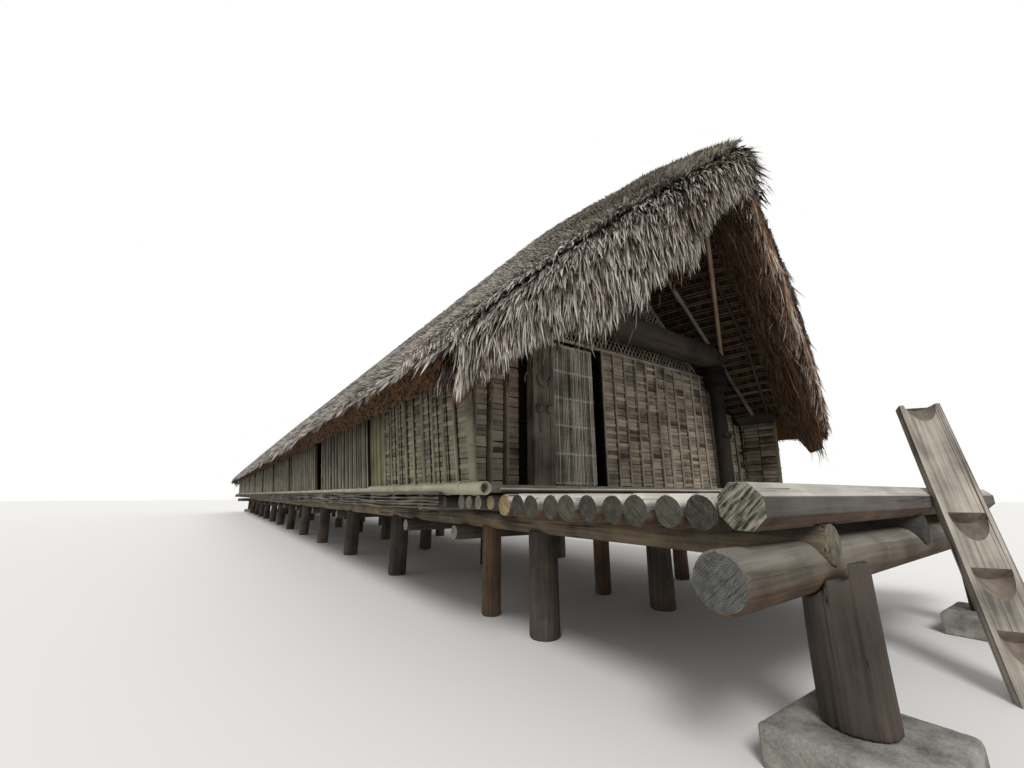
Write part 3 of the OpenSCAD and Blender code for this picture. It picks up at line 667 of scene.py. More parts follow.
def facing_group():
    """How far a face looks up to the sky or down to the ground."""
    n, _, result = new_group("Facing", {}, ("Up", "Down"))
    normal = n.new("ShaderNodeNewGeometry").outputs["Normal"]
    height = n.new("ShaderNodeSeparateXYZ", Vector=normal).outputs["Z"]
    n.feed(result["Up"], n.times(n.minus(height, 0.2), 2.5, True))
    n.feed(result["Down"], n.times(n.minus(-0.05, height), 3.0, True))
    return n.tree


@cache
def groups():
    """The node groups that several materials share, made once."""
    return {"grain": grain_group(), "weather": weather_group(), "facing": facing_group()}


class Surface(Nodes):
    """One material, with its nodes and its main shader."""

    def __init__(self, name, roughness, specular=0.25):
        self.material = bpy.data.materials.new(name)
        self.material.use_nodes = True
        super().__init__(self.material.node_tree)
        self.shader = self.tree.nodes["Principled BSDF"]
        self.shader.inputs["Roughness"].default_value = roughness
        self.shader.inputs["Specular IOR Level"].default_value = specular

    def paint(self, colour, height=None, strength=0.5, distance=0.002):
        """Joins up the colour, and a bump where there is a height, and gives the material."""
        self.feed(self.shader.inputs["Base Color"], colour)
        if height is not None:
            values = {"Strength": strength, "Distance": distance, "Height": height}
            bump = self.new("ShaderNodeBump", **values)
            self.feed(self.shader.inputs["Normal"], bump.outputs[0])
        return self.material


def dim(colour, share):
    """A colour made darker."""
    return tuple(c * share for c in colour)


def pair(colour, dark, light):
    """Dark and light of one colour."""
    return dim(colour, dark), dim(colour, light)


def timber(name, side, top=None, low=None, cracks=0.5, turn=None):
    """Sawn or barked timber, from a dark and a light colour for its sides, top and underside.

    A turn of the piece's own space gives the grain where the mesh holds none."""
    n = Surface(name, 0.85)
    if turn is None:
        place = n.grain_place()
    else:
        turned = {"rotation_type": "EULER_XYZ", "Rotation": turn, "Vector": n.own_place()}
        place = n.new("ShaderNodeVectorRotate", **turned).outputs[0]
    g = n.group("grain", Crack_width=cracks, Place=place)
    w = n.group("weather", Scale=4.0)
    level = n.times(g["Streak"], 0.95)
    if turn is None:
        level = n.plus(level, n.about(n.tone(), 0.5, 0.35))
    level = n.plus(level, n.about(w["Patch"], 0.5, 0.34), True)
    colour = n.ramp(level, [(0.25, side[0]), (0.75, side[1])])
    way = n.group("facing")
    for shades, looking in ((top, "Up"), (low, "Down")):
        if shades:
            turned_to = n.ramp(level, [(0.25, shades[0]), (0.75, shades[1])])
            colour = n.mix(way[looking], colour, turned_to)
    colour = n.mix(g["Crack"], colour, dim(side[0], 0.25))
    return n.paint(colour, g["Height"], 0.4, 0.004)


def end_grain(name, dark, light, rings=0.06, saw_marks=0.36, saw_scale=330):
    """Sawn end of a log: faint year rings, slanting saw marks, blotches and a few checks."""
    n = Surface(name, 0.9)
    place = n.grain_place()
    flat = n.stretch(place, (0, 1, 1))
    radius = n.new("ShaderNodeVectorMath", operation="LENGTH")
    n.feed(radius.inputs[0], flat)
    warp = n.noise(flat, 26.0, 3.0)
    wave = n.plus(n.times(radius.outputs["Value"], 1100.0), n.times(warp, 26.0))
    ring = n.times(n.math("SINE", wave), rings)
    turned = {"rotation_type": "X_AXIS", "Angle": 0.75, "Vector": place}
    slanted = n.new("ShaderNodeVectorRotate", **turned).outputs[0]
    saw = n.streaks(slanted, (3, 18, saw_scale), 2.0, 0.5)
    blotch = n.noise(place, 38.0, 4.0, 0.7)
    split = n.math("ABSOLUTE", n.minus(n.streaks(slanted, (3, 5, 120), 2.0, 0.5), 0.44))
    check = n.minus(1.0, n.math("DIVIDE", split, 0.012), True)
    level = n.plus(ring, n.plus(n.about(saw, 0.5, saw_marks), 0.18))
    level = n.plus(level, n.plus(n.times(n.tone(), 0.3), n.times(blotch, 0.5)))
    colour = n.ramp(level, [(0.44, dark), (0.78, light)])
    colour = n.mix(check, colour, dim(dark, 0.35))
    return n.paint(colour, n.plus(n.times(saw, 0.8), n.minus(blotch, check)))


def straw(name, stops, patch_dark=0.55):
    """Grass blades: colour by each blade's own tone, darker in damp patches."""
    n = Surface(name, 0.92, 0.15)
    w = n.group("weather", Scale=1.6)
    level = n.plus(n.tone(), n.about(w["Speck"], 0.5, 0.5), True)
    shade = n.plus(patch_dark, n.times(w["Patch"], 1 - patch_dark))
    grey = n.new("ShaderNodeCombineColor", Red=shade, Green=shade, Blue=shade).outputs[0]
    return n.paint(n.mix(1.0, n.ramp(level, stops), grey, "MULTIPLY"))


def thatch_body(name, upper, butt, under):
    """Packed thatch behind the blades: grey on top, brown butts at its edges, the butt brown
    darkened below as painted shade.
    """
    n = Surface(name, 0.95, 0.1)
    place = n.own_place()
    normal = n.new("ShaderNodeNewGeometry").outputs["Normal"]
    height = n.new("ShaderNodeSeparateXYZ", Vector=normal).outputs["Z"]
    edge = n.math("LESS_THAN", height, 0.1)
    below = n.math("LESS_THAN", height, -0.45)
    stems = n.streaks(place, (9, 120, 9), 4.0, 0.65)
    clump = n.streaks(place, (6, 14, 6), 3.0)
    level = n.plus(n.times(stems, 0.7), n.times(clump, 0.4))
    top, side, foot = (n.ramp(level, [(0.3, dim(c, 0.35)), (0.8, c)]) for c in (upper, butt, under))
    return n.paint(n.mix(below, n.mix(edge, top, side), foot), level, 0.8, 0.02)


def bamboo(name, dark, light, roughness=0.8, specular=0.15, streaks=(2.5, 60, 60), own_place=False):
    """Split or whole bamboo, streaked lengthwise, with grey and green stains."""
    n = Surface(name, roughness, specular)
    fine = n.streaks(n.own_place() if own_place else n.grain_place(), streaks)
    w = n.group("weather", Scale=6.0)
    level = n.plus(n.times(fine, 0.5), n.times(n.tone(), 0.5))
    level = n.plus(level, n.about(w["Patch"], 0.5, 0.35), True)
    return n.paint(n.ramp(level, [(0.2, dark), (0.8, light)]), fine, 0.25)


def rough_stone(name, dark, light):
    """Cast concrete with pits and damp marks."""
    n = Surface(name, 0.92, 0.2)
    w = n.group("weather", Scale=9.0)
    level = n.plus(n.times(w["Patch"], 0.6), n.times(w["Speck"], 0.5))
    return n.paint(n.ramp(level, [(0.25, dark), (0.8, light)]), w["Speck"], 0.6, 0.006)


# User settings


class ThatchSettings(bpy.types.PropertyGroup):
    """Numbers, sizes and colours of the grass."""

    prow_tufts: IntProperty(
        name="Prow tufts", description="Fine grass tufts on each slope near its two ends",
        default=80000, min=1000,
    )
    middle_tufts: IntProperty(
        name="Middle tufts", description="Broader grass tufts on the rest of each slope",
        default=26000, min=1000,
    )
    tuft_length: FloatProperty(
        name="Tuft length", description="Length of a tuft that shows",
        default=0.072, unit="LENGTH",
    )
    tuft_width: FloatProperty(
        name="Tuft width", description="Width of a tuft at its root",
        default=0.017, unit="LENGTH",
    )
    verge_tufts: IntProperty(
        name="Verge tufts", description="Pointed tufts over each outer verge",
        default=32000, min=100,
    )
    hanging_strands: IntProperty(
        name="Hanging strands", description="Strands that hang from each verge",
        default=3800, min=100,
    )
    lining_strands: IntProperty(
        name="Lining strands", description="Strands inside each verge",
        default=6500, min=100,
    )
    eave_tufts: IntProperty(
        name="Eave tufts", description="Tufts on the face and the edge of each eave",
        default=16000, min=100,
    )
    grey: FloatVectorProperty(
        name="Grey thatch", description="Colour of weathered thatch",
        subtype="COLOR", default=(0.4, 0.376, 0.355),
    )
    straw: FloatVectorProperty(
        name="Straw", description="Colour of the palest blades",
        subtype="COLOR", default=(0.64, 0.585, 0.515),
    )
    butt: FloatVectorProperty(
        name="Butt ends", description="Colour of the thatch's cut ends",
        subtype="COLOR", default=(0.19, 0.105, 0.055),
    )


class TimberSettings(bpy.types.PropertyGroup):
    """Colours and roundness of the timber."""

    bleached: FloatVectorProperty(
        name="Bleached timber", description="Colour of sun-bleached deck timber",
        subtype="COLOR", default=(0.66, 0.625, 0.55),
    )
    brown: FloatVectorProperty(
        name="Brown timber", description="Colour of the dark posts",
        subtype="COLOR", default=(0.135, 0.108, 0.088),
    )
    tan: FloatVectorProperty(
        name="Tan timber", description="Colour of the barked beams",
        subtype="COLOR", default=(0.35, 0.272, 0.175),
    )
    unevenness: FloatProperty(
        name="Unevenness", description="Share by which a log's radius varies",
        default=0.035, min=0, max=0.1,
    )


class MatSettings(bpy.types.PropertyGroup):
    """Colours and strips of the bamboo."""

    strip: FloatProperty(
        name="Strip width", description="Width of a flattened bamboo strip",
        default=0.03, unit="LENGTH",
    )
    brown: FloatVectorProperty(
        name="Brown mat", description="Colour of the mats under the gables",
        subtype="COLOR", default=(0.46, 0.38, 0.29),
    )
    green: FloatVectorProperty(
        name="Greenish mat", description="Colour of the mats on the long sides",
        subtype="COLOR", default=(0.275, 0.248, 0.172),
    )
    pole: FloatVectorProperty(
        name="Pole", description="Colour of bamboo poles",
        subtype="COLOR", default=(0.33, 0.31, 0.225),
    )


class StudioSettings(bpy.types.PropertyGroup):
    """Floor and light of the studio."""

    floor: FloatVectorProperty(
        name="Floor", description="Colour of the studio floor",
        subtype="COLOR", default=(0.78, 0.77, 0.75),
    )
    sun: FloatProperty(
        name="Lamp", description="Strength of the soft key lamp",
        default=2.0,
    )
    sky: FloatProperty(
        name="Sky", description="Strength of the even light from all round",
        default=0.7,
    )


def grass_finishes(thatch):
    """Finishes of the roof."""
    grey, straws, butt = tuple(thatch.grey), tuple(thatch.straw), tuple(thatch.butt)
    blades = [(0.0, dim(grey, 0.1)), (0.3, dim(grey, 0.32)), (0.6, grey)]
    blades += [(0.82, dim(straws, 0.7)), (1.0, straws)]
    fringe = [(0.0, dim(butt, 0.1)), (0.28, (0.065, 0.046, 0.034)), (0.5, (0.18, 0.146, 0.12))]
    fringe += [(0.75, dim(straws, 0.7)), (1.0, straws)]
    rust = [(0.0, (0.02, 0.009, 0.005)), (0.3, (0.12, 0.06, 0.033)), (0.6, (0.29, 0.18, 0.11))]
    rust += [(1.0, dim(straws, 0.9))]
    butts = [(0.0, dim(butt, 0.25)), (0.35, dim(butt, 0.8)), (0.65, (0.25, 0.18, 0.125))]
    butts += [(1.0, dim(straws, 0.62))]
    leaf = [(0.0, dim(butt, 0.06)), (0.6, dim(butt, 0.4)), (1.0, dim(butt, 0.75))]
    return {
        "thatch": straw("Thatch blades", blades),
        "fringe": straw("Fringe strands", fringe, 0.7),
        "rust": straw("Rusty strands", rust, 0.75),
        "butts": straw("Thatch butts", butts, 0.75),
        "leaf": straw("Leaf bundles", leaf, 0.8),
        # The underside takes the butt brown at a third of the edges' brightness, painted shade
        # under the roof
        "thatch_body": thatch_body("Packed thatch", dim(grey, 0.5), dim(butt, 0.9), dim(butt, 0.3)),
    }


def timber_finishes(colours):
    """Finishes of the logs, beams and posts."""
    bleached, brown, tan = colours.bleached, colours.brown, colours.tan
    along, upright = (0, 0, math.pi / 2), (0, math.pi / 2, 0)
    return {
        "lath": timber("Bamboo laths", pair((0.26, 0.2, 0.145), 0.3, 1.0), cracks=0.1),
        "bleached": timber(
            "Bleached timber", pair((0.17, 0.158, 0.137), 0.3, 1.0),
            pair(bleached, 0.5, 1.0), pair((0.16, 0.1, 0.06), 0.2, 1.0), 0.8,
        ),
        "hewn": timber(
            "Hewn edge timber", pair((0.125, 0.115, 0.1), 0.3, 1.0),
            pair(bleached, 0.3, 0.78), pair((0.15, 0.095, 0.06), 0.2, 1.0), 0.6,
        ),
        "tan": timber(
            "Tan timber", pair(tan, 0.04, 0.72),
            pair((0.15, 0.13, 0.105), 0.12, 1.0), pair(tan, 0.12, 0.75), 1.0,
        ),
        "carrier": timber(
            "Carrier timber", pair((0.2, 0.165, 0.125), 0.25, 1.0),
            pair((0.29, 0.265, 0.22), 0.4, 1.0), pair((0.15, 0.095, 0.055), 0.25, 1.0),
        ),
        "brown": timber("Brown timber", pair(brown, 0.2, 1.0)),
        "ruddy": timber("Ruddy timber", pair((0.2, 0.13, 0.08), 0.25, 1.0), cracks=0.3),
        "notched": timber("Notched post timber", pair(brown, 0.15, 0.62), cracks=0.12),
        "charred": timber("Blackened timber", pair((0.07, 0.064, 0.056), 0.15, 1.0)),
        "brown_x": timber("Brown timber across", pair(brown, 0.16, 0.62), turn=(0, 0, 0)),
        "brown_y": timber("Brown timber along", pair(brown, 0.2, 0.9), turn=along),
        "brown_z": timber("Brown timber upright", pair(brown, 0.14, 0.55), turn=upright),
        "face_z": timber("Carved post face", pair((0.27, 0.215, 0.175), 0.15, 1.0), turn=upright),
        "pot_z": timber("Dark turned post", pair(brown, 0.05, 0.2), turn=upright),
        "plank": timber("Ladder plank", pair((0.53, 0.475, 0.395), 0.2, 1.0), cracks=1.0),
        # Darker finish of the ladders' scoop faces: painted shade in the scoops
        "scoop_shade": bamboo(
            "Painted shade in ladder scoops", (0.06, 0.048, 0.038), (0.3, 0.25, 0.2), 0.85, streaks=(3, 50, 50)
        ),
        "strips": timber("Split strips", pair((0.2, 0.17, 0.135), 0.08, 1.0), cracks=0.6),
        "end_hewn": end_grain(
            "Hewn log end", (0.02, 0.02, 0.013), (0.26, 0.255, 0.19), 0.03, 1.0, 130
        ),
        "end_dark": end_grain("Dark sawn end", (0.016, 0.016, 0.012), (0.095, 0.09, 0.07)),
        "end_green": end_grain("Greenish sawn end", (0.06, 0.054, 0.035), (0.27, 0.25, 0.17)),
        "end_grey": end_grain(
            "Grey sawn end", (0.045, 0.044, 0.04), (0.155, 0.155, 0.142), 0.055
        ),
        "end_tan": end_grain("Tan sawn end", (0.2, 0.14, 0.07), (0.5, 0.4, 0.24)),
        "end_pale": end_grain("Pale sawn end", (0.1, 0.095, 0.08), (0.42, 0.4, 0.34)),
        "stone": rough_stone("Footing concrete", (0.1, 0.095, 0.085), (0.36, 0.35, 0.31)),
    }


def bamboo_finishes(colours):
    """Finishes of the mats, battens and poles."""
    brown, green, pole = tuple(colours.brown), tuple(colours.green), tuple(colours.pole)
    battens = {"roughness": 0.75, "specular": 0.2}
    poles = {"roughness": 0.6, "specular": 0.25}
    return {
        "mat": bamboo("Brown mat", dim(brown, 0.13), brown),
        "mat_green": bamboo("Greenish mat", dim(green, 0.25), green),
        "mat_side": bamboo("Side mat", dim(green, 0.12), dim(green, 0.7)),
        # Near-black painted shade on the walls behind the mats, seen through their gaps and seams
        "painted_gap_shade": bamboo(
            "Painted shade behind mats", (0.008, 0.007, 0.005), (0.045, 0.037, 0.027), 0.9, 0.1, own_place=True
        ),
        "floor_mat": bamboo(
            "Split bamboo floor", (0.16, 0.145, 0.115), (0.5, 0.47, 0.4),
            streaks=(6, 90, 6), own_place=True,
        ),
        "shutter": bamboo("Window mat", (0.035, 0.033, 0.018), (0.2, 0.185, 0.1)),
        "batten": bamboo("Pale battens", (0.1, 0.085, 0.065), (0.44, 0.39, 0.315), **battens),
        "batten_side": bamboo(
            "Side battens", (0.04, 0.036, 0.028), (0.24, 0.222, 0.175), **battens
        ),
        "batten_green": bamboo(
            "Green battens", (0.05, 0.045, 0.03), (0.25, 0.228, 0.158), **battens
        ),
        # Painted shadow: dark strips that lie beside the pale battens
        "batten_shadow": bamboo("Painted batten shadows", (0.02, 0.017, 0.011), (0.13, 0.11, 0.07)),
        "rod": bamboo("Screen rods", (0.1, 0.088, 0.066), (0.74, 0.69, 0.585), 0.7, 0.2),
        "pole": bamboo("Bamboo pole", dim(pole, 0.3), pole, **poles),
        "pole_grey": bamboo(
            "Grey bamboo pole", (0.06, 0.055, 0.045), (0.42, 0.4, 0.35), **poles
        ),
        "pole_warm": bamboo(
            "Warm bamboo pole", (0.1, 0.065, 0.038), (0.42, 0.315, 0.2), **poles
        ),
    }


@cache
def finishes():
    """All materials, made once from the colours in the settings."""
    scene = bpy.context.scene
    return {
        **grass_finishes(scene.longhouse_thatch),
        **timber_finishes(scene.longhouse_timber),
        **bamboo_finishes(scene.longhouse_mat),
    }


# Thatch


# Depths from the verge inwards: the fine tufts reach in this far, the broad ones start here
PROW_REACH, MIDDLE_START = 3.8, 3.7


class LONGHOUSE_OT_thatch(bpy.types.Operator):
    """Lay the grass tufts on both slopes, finer and denser towards each prow"""

    bl_idname = "longhouse.thatch"
    bl_label = "Thatch"

    def execute(self, context):
        settings = context.scene.longhouse_thatch
        for node in ("thatch_left", "thatch_right", "ridge_thatch"):
            dress(node, "thatch_body")
        for side, name in SIDES:
            rng = np.random.default_rng(11 + side)
            parts = Parts()
            self.lay(parts, rng, settings, settings.prow_tufts, side, True)
            self.lay(parts, rng, settings, settings.middle_tufts, side, False)
            piece = parts.build("thatch_grass_" + name, ["thatch"])
            settle(piece, HOUSE)
        return {"FINISHED"}

    def lay(self, parts, rng, settings, n, side, near):
        """Scatter tufts on one slope, near its two ends or on the rest of it.

        On the outer slope of each prow they fan out to the verge, on the inner one they
        lean away from it."""
        t = rng.uniform(0.01, 1.0, n)
        end = rng.choice((-1.0, 1.0), n)
        if near:
            deep = PROW_REACH * rng.uniform(0, 1, n) ** 1.3
        else:
            deep = rng.uniform(MIDDLE_START, verge_y(t))
        size = 1.0 if near else 2.1
        close = np.clip(1 - deep / 1.1, 0, 1)
        place, fall, out = slope(side, t, end * (verge_y(t) + 0.01 - deep))
        fan = np.clip(1 - deep / 2.6, 0, 1) ** 0.8 * (side * end > 0)
        lee = close * (side * end < 0)
        swing = rng.normal(0, 0.2, n)
        swing += end * (fan * rng.uniform(0.3, 1.0, n) - lee * rng.uniform(0.2, 0.6, n))
        along = unit(fall + Y * swing[:, None])
        length = settings.tuft_length * size * rng.uniform(0.6, 1.5, n)
        length *= 1 + 0.5 * close + 0.35 * fan
        lift = rng.uniform(0.01, 0.042, n) * (1 + 0.7 * fan if near else 1.3) * (1 - 0.7 * lee)
        tip = place + along * length[:, None] + out * lift[:, None]
        tip[:, 2] -= 0.02 * close * rng.uniform(0, 1, n)
        level = np.cross(along, out) * rng.normal(0.7, 0.5, n)[:, None]
        flat = unit(level + out * rng.normal(0, 1.0, n)[:, None])
        width = settings.tuft_width * size * rng.uniform(0.6, 1.5, n) * (1 + 0.55 * fan)
        tone = rng.normal(0.62 if near else 0.52, 0.25, n) + 0.16 * fan + 0.06 * close + 0.22 * lee
        tone += 0.1 * lattice_noise(place * 1.7, 5) + 0.1 * lattice_noise(place * 7.0, 6)
        tone += 0.15 * fan * np.clip(1 - 1.6 * t, 0, 1)
        tone = np.clip(tone, 0.02, 0.98)
        tufts(parts, place - out * 0.006, droop(tip), flat, width, tone)


# Tufts on the ridge roll: their number, reach inwards, size and crowding towards the tips
RIDGE_ROWS = ((12000, 3.6, 1.0, 1.3), (9000, 10.0, 1.9, 1.0))
RIDGE_TAIL_TUFTS = 5000


class LONGHOUSE_OT_ridge(bpy.types.Operator):
    """Fold grass over the ridge, with a ragged tail past each tip"""

    bl_idname = "longhouse.ridge"
    bl_label = "Ridge"

    def execute(self, context):
        rng = np.random.default_rng(23)
        parts = Parts()
        for n, reach, size, crowding in RIDGE_ROWS:
            self.roll(parts, rng, n, reach, size, crowding)
        self.tail(parts, rng, RIDGE_TAIL_TUFTS)
        settle(parts.build("ridge_grass", ["thatch"]), HOUSE)
        return {"FINISHED"}

    def roll(self, parts, rng, n, reach, size, crowding):
        """Tufts that fall to both sides from the roll on the ridge."""
        end = rng.choice((-1.0, 1.0), n)
        t = 0.15 * rng.uniform(0, 1, n)
        y = end * (VERGE_Y + 0.03 - reach * rng.uniform(0, 1, n) ** crowding)
        side = rng.choice((-1.0, 1.0), n)
        place, fall, out = slope(side, t, y)
        place = place + out * (0.034 * (1 - t / 0.17))[:, None]
        along = unit(fall + Y * rng.normal(0, 0.3, n)[:, None])
        tip = place + along * (0.1 * size * rng.uniform(0.6, 1.4, n))[:, None]
        tip = tip + out * rng.uniform(0.002, 0.03, n)[:, None]
        flat = unit(np.cross(along, out) + out * rng.normal(0, 0.4, n)[:, None])
        width = 0.013 * size * rng.uniform(0.6, 1.4, n)
        tone = np.clip(rng.normal(0.5, 0.2, n), 0, 1)
        tufts(parts, place - out * 0.004, tip, flat, width, tone)

    def tail(self, parts, rng, n):
        """Tufts that stand out past the tips of the ridge."""
        end = rng.choice((-1.0, 1.0), n)
        past = rng.uniform(-0.3, 0.1, n)
        x = rng.normal(0, 0.06, n)
        z = RIDGE_TOP - DIP + 0.005 - 1.1 * np.abs(x) - 0.33 * past
        start = xyz(x, end * (VERGE_Y + past), z - rng.uniform(0, 0.07, n) * (past > 0))
        sideways = x * 4 + rng.normal(0, 0.16, n)
        way = unit(xyz(sideways, end * rng.uniform(0.0, 0.7, n), -rng.uniform(0.5, 1.0, n)))
        flat = unit(np.cross(way, xyz(rng.normal(0, 0.7, n), end, 1.0)))
        tip = start + way * rng.uniform(0.05, 0.13, n)[:, None]
        width = rng.uniform(0.008, 0.018, n)
        tufts(parts, start, tip, flat, width, np.clip(rng.normal(0.64, 0.22, n), 0, 1))


class LONGHOUSE_OT_fringe(bpy.types.Operator):
    """Comb the long grass over the verges of each prow and hang it down in a fringe"""

    bl_idname = "longhouse.fringe"
    bl_label = "Verge fringe"

    def execute(self, context):
        settings = context.scene.longhouse_thatch
        for end, name in ENDS:
            parts = Parts()
            for side in (-1, 1):
                rng = np.random.default_rng(31 + 2 * end + side)
                inside = side * end < 0
                faced = settings.verge_tufts // (2 if inside else 1)
                lined = settings.lining_strands // (1 if inside else 5)
                self.face(parts, rng, faced, side, end)
                self.hang(parts, rng, settings.hanging_strands, side, end)
                self.line(parts, rng, lined, side, end)
            piece = parts.build("verge_fringe_" + name, ["fringe", "rust"])
            settle(piece, HOUSE)
        return {"FINISHED"}

    def depth(self, t, side, end):
        """How far the fringe hangs at slope share t, in ragged clumps."""
        clump = lattice_noise(xyz(t * 15, side * 3.3, 0.0), 12)
        small = lattice_noise(xyz(t * 47, side * 7.7, 0.0), 13)
        reach = np.interp(t, HANG_SHARES, HANG) * (0.87 + 0.2 * clump + 0.12 * small)
        if side * end < 0:
            return reach * np.interp(t, [0.0, 0.75, 1.0], [1.0, 1.0, 0.6])
        return reach * np.interp(t, [0.0, 0.5, 1.0], [1.0, 0.97, 0.86])

    def red(self, place):
        """Share of red-brown weathering in patches along the verge."""
        return np.clip(lattice_noise(place * 2.2, 17) - 0.2, 0, 1)

    def face(self, parts, rng, n, side, end):
        """Pointed tufts laid in tiers over the verge, from the slope down to the ragged edge."""
        inside = side * end < 0
        t = rng.uniform(0, 1.01, n)
        deepest = self.depth(t, side, end)
        low = deepest * rng.uniform(-0.28 if inside else -2.0, 0.94, n)
        over = np.clip((low + 0.1) / 0.24, 0, 1)
        edge, fall, out = slope(side, t, end * (verge_y(t) + np.minimum(low, 0) * 1.2))
        hung = np.maximum(low, 0)
        swell = np.sin(math.pi * np.clip(hung / deepest, 0, 1))
        rough = rng.uniform(-0.02, 0.02, n)
        if inside:
            belly = 0.3 * (0.012 + 0.045 * swell + rough) - 0.02
            raised, spread, drop = 0.012, 0.02, over * (0.62 + 0.25 * t)
            swing, comb = -0.4, 0.0
        else:
            belly = 0.055 + 0.02 * swell + rough
            raised, spread, drop = 0.03, 0.1, over * 0.9
            swing, comb = 0.7 * (1 - over), 0.25 * (1 - over)
        start = edge + out * (raised * (low < 0))[:, None]
        start = start + xyz(side * spread * hung, end * belly, -hung)
        swing = rng.normal(0, 0.14, n) + swing * end
        way = unit(fall * (1 - drop)[:, None] - Z * drop[:, None] + Y * swing[:, None])
        way = way + X * rng.normal(0, 0.12, n)[:, None]
        way = unit(way + out * np.broadcast_to(comb, n)[:, None])
        length = rng.uniform(0.06, 0.13, n) * (1 + 0.45 * over) * (1.4 if inside else 1.0)
        room = deepest * rng.uniform(1.0, 1.3, n) - hung
        length = np.minimum(length, np.maximum(room, 0.04))
        front = xyz(side * 0.3 + rng.normal(0, 0.6, n), end, 0.3 + rng.normal(0, 0.3, n))
        flat = unit(np.cross(way, front))
        tone = rng.normal(0.56, 0.29, n) - 0.35 * self.red(start)
        if inside:
            tone += 0.1 + 0.3 * np.clip(1 - t * 1.4, 0, 1) * (hung < 0.12)
            root = 1.0
        else:
            tone += 0.12 * np.clip(1 - low / 0.06, 0, 1) - 0.12 * np.clip(1 - t * 2.6, 0, 1)
            # Less painted shade at the roots near the crest of the verge
            root = 1 - 0.85 * np.exp(-(((low + 0.02) / 0.1) ** 2))
        tip = droop(start + way * length[:, None])
        width = rng.uniform(0.008, 0.02, n)
        tone = np.clip(tone, 0.03, 0.98)
        tufts(parts, droop(start), tip, flat, width, tone, int(inside), root)

    def hang(self, parts, rng, n, side, end):
        """Longer strands that hang from the thick of the verge, redder further in."""
        inside = side * end < 0
        t = rng.uniform(0, 1.0, n)
        deep = 0.2 * rng.uniform(0, 1, n) ** 1.1
        top = slope(side, t, end * (verge_y(t) + 0.012 - deep))[0]
        hang = self.depth(t, side, end)
        begin = hang * rng.uniform(0.3, 0.85, n)
        stop = np.maximum(hang * rng.uniform(0.85, 1.12, n), begin + 0.08)
        away = end * rng.uniform(0.0, 0.01 if inside else 0.05, n)
        start = top + xyz(side * 0.03 * begin, 0.0, -begin)
        spread = side * (0.02 if inside else 0.1) * stop + rng.normal(0, 0.02, n)
        tip = top + xyz(spread, away + rng.normal(0, 0.015, n), -stop)
        bend = (start + tip) / 2 + xyz(rng.normal(0, 0.008, n), away * 0.4, 0.0)
        face = unit(xyz(rng.normal(0, 0.6, n), end, rng.normal(0, 0.2, n)))
        tone = rng.normal(0.68 if inside else 0.58, 0.23, n) - 1.7 * deep - 0.35 * self.red(top)
        path = np.stack([droop(start), droop(bend), droop(tip)], axis=1)
        width = rng.uniform(0.006, 0.013, n)
        strands(parts, path, face, width, np.clip(tone, 0.03, 1), int(inside))

    def line(self, parts, rng, n, side, end):
        """Red-brown strands that line the verge from inside and run down along it."""
        t = rng.uniform(0, 0.97, n)
        deep = rng.uniform(0.05, 0.34, n)
        x, y = t * TIP_X, end * (verge_y(t) - deep)
        floor = np.maximum(np.interp(t, HANG_SHARES, HANG) - THICK * (1 - t), 0.02)
        begin = rng.uniform(0, 1, n) * floor * np.clip(1.35 - deep / 0.22, 0, 1)
        start = xyz(side * x, y, under_z(x, y) + 0.015 - begin)
        length = rng.uniform(0.14, 0.3, n) * (1 - 0.45 * np.clip((deep - 0.2) / 0.14, 0, 1))
        length = length * np.interp(t, [0.0, 0.7, 1.0], [1.0, 1.0, 0.55])
        length = length if side * end < 0 else length * 0.45
        lean = side * rng.uniform(0.2, 0.45, n) * length
        bend = start + xyz(lean * 0.5, end * rng.normal(0.01, 0.012, n), -length * 0.42)
        tip = start + xyz(lean * 0.9, end * rng.normal(0.02, 0.02, n), -length)
        face = unit(xyz(-side + rng.normal(0, 0.4, n), -0.8 * end + rng.normal(0, 0.4, n), -0.4))
        tone = np.clip(rng.normal(0.42, 0.19, n), 0.0, 0.9)
        path = np.stack([start, droop(bend), droop(tip)], axis=1)
        strands(parts, path, face, rng.uniform(0.006, 0.012, n), tone, 1)


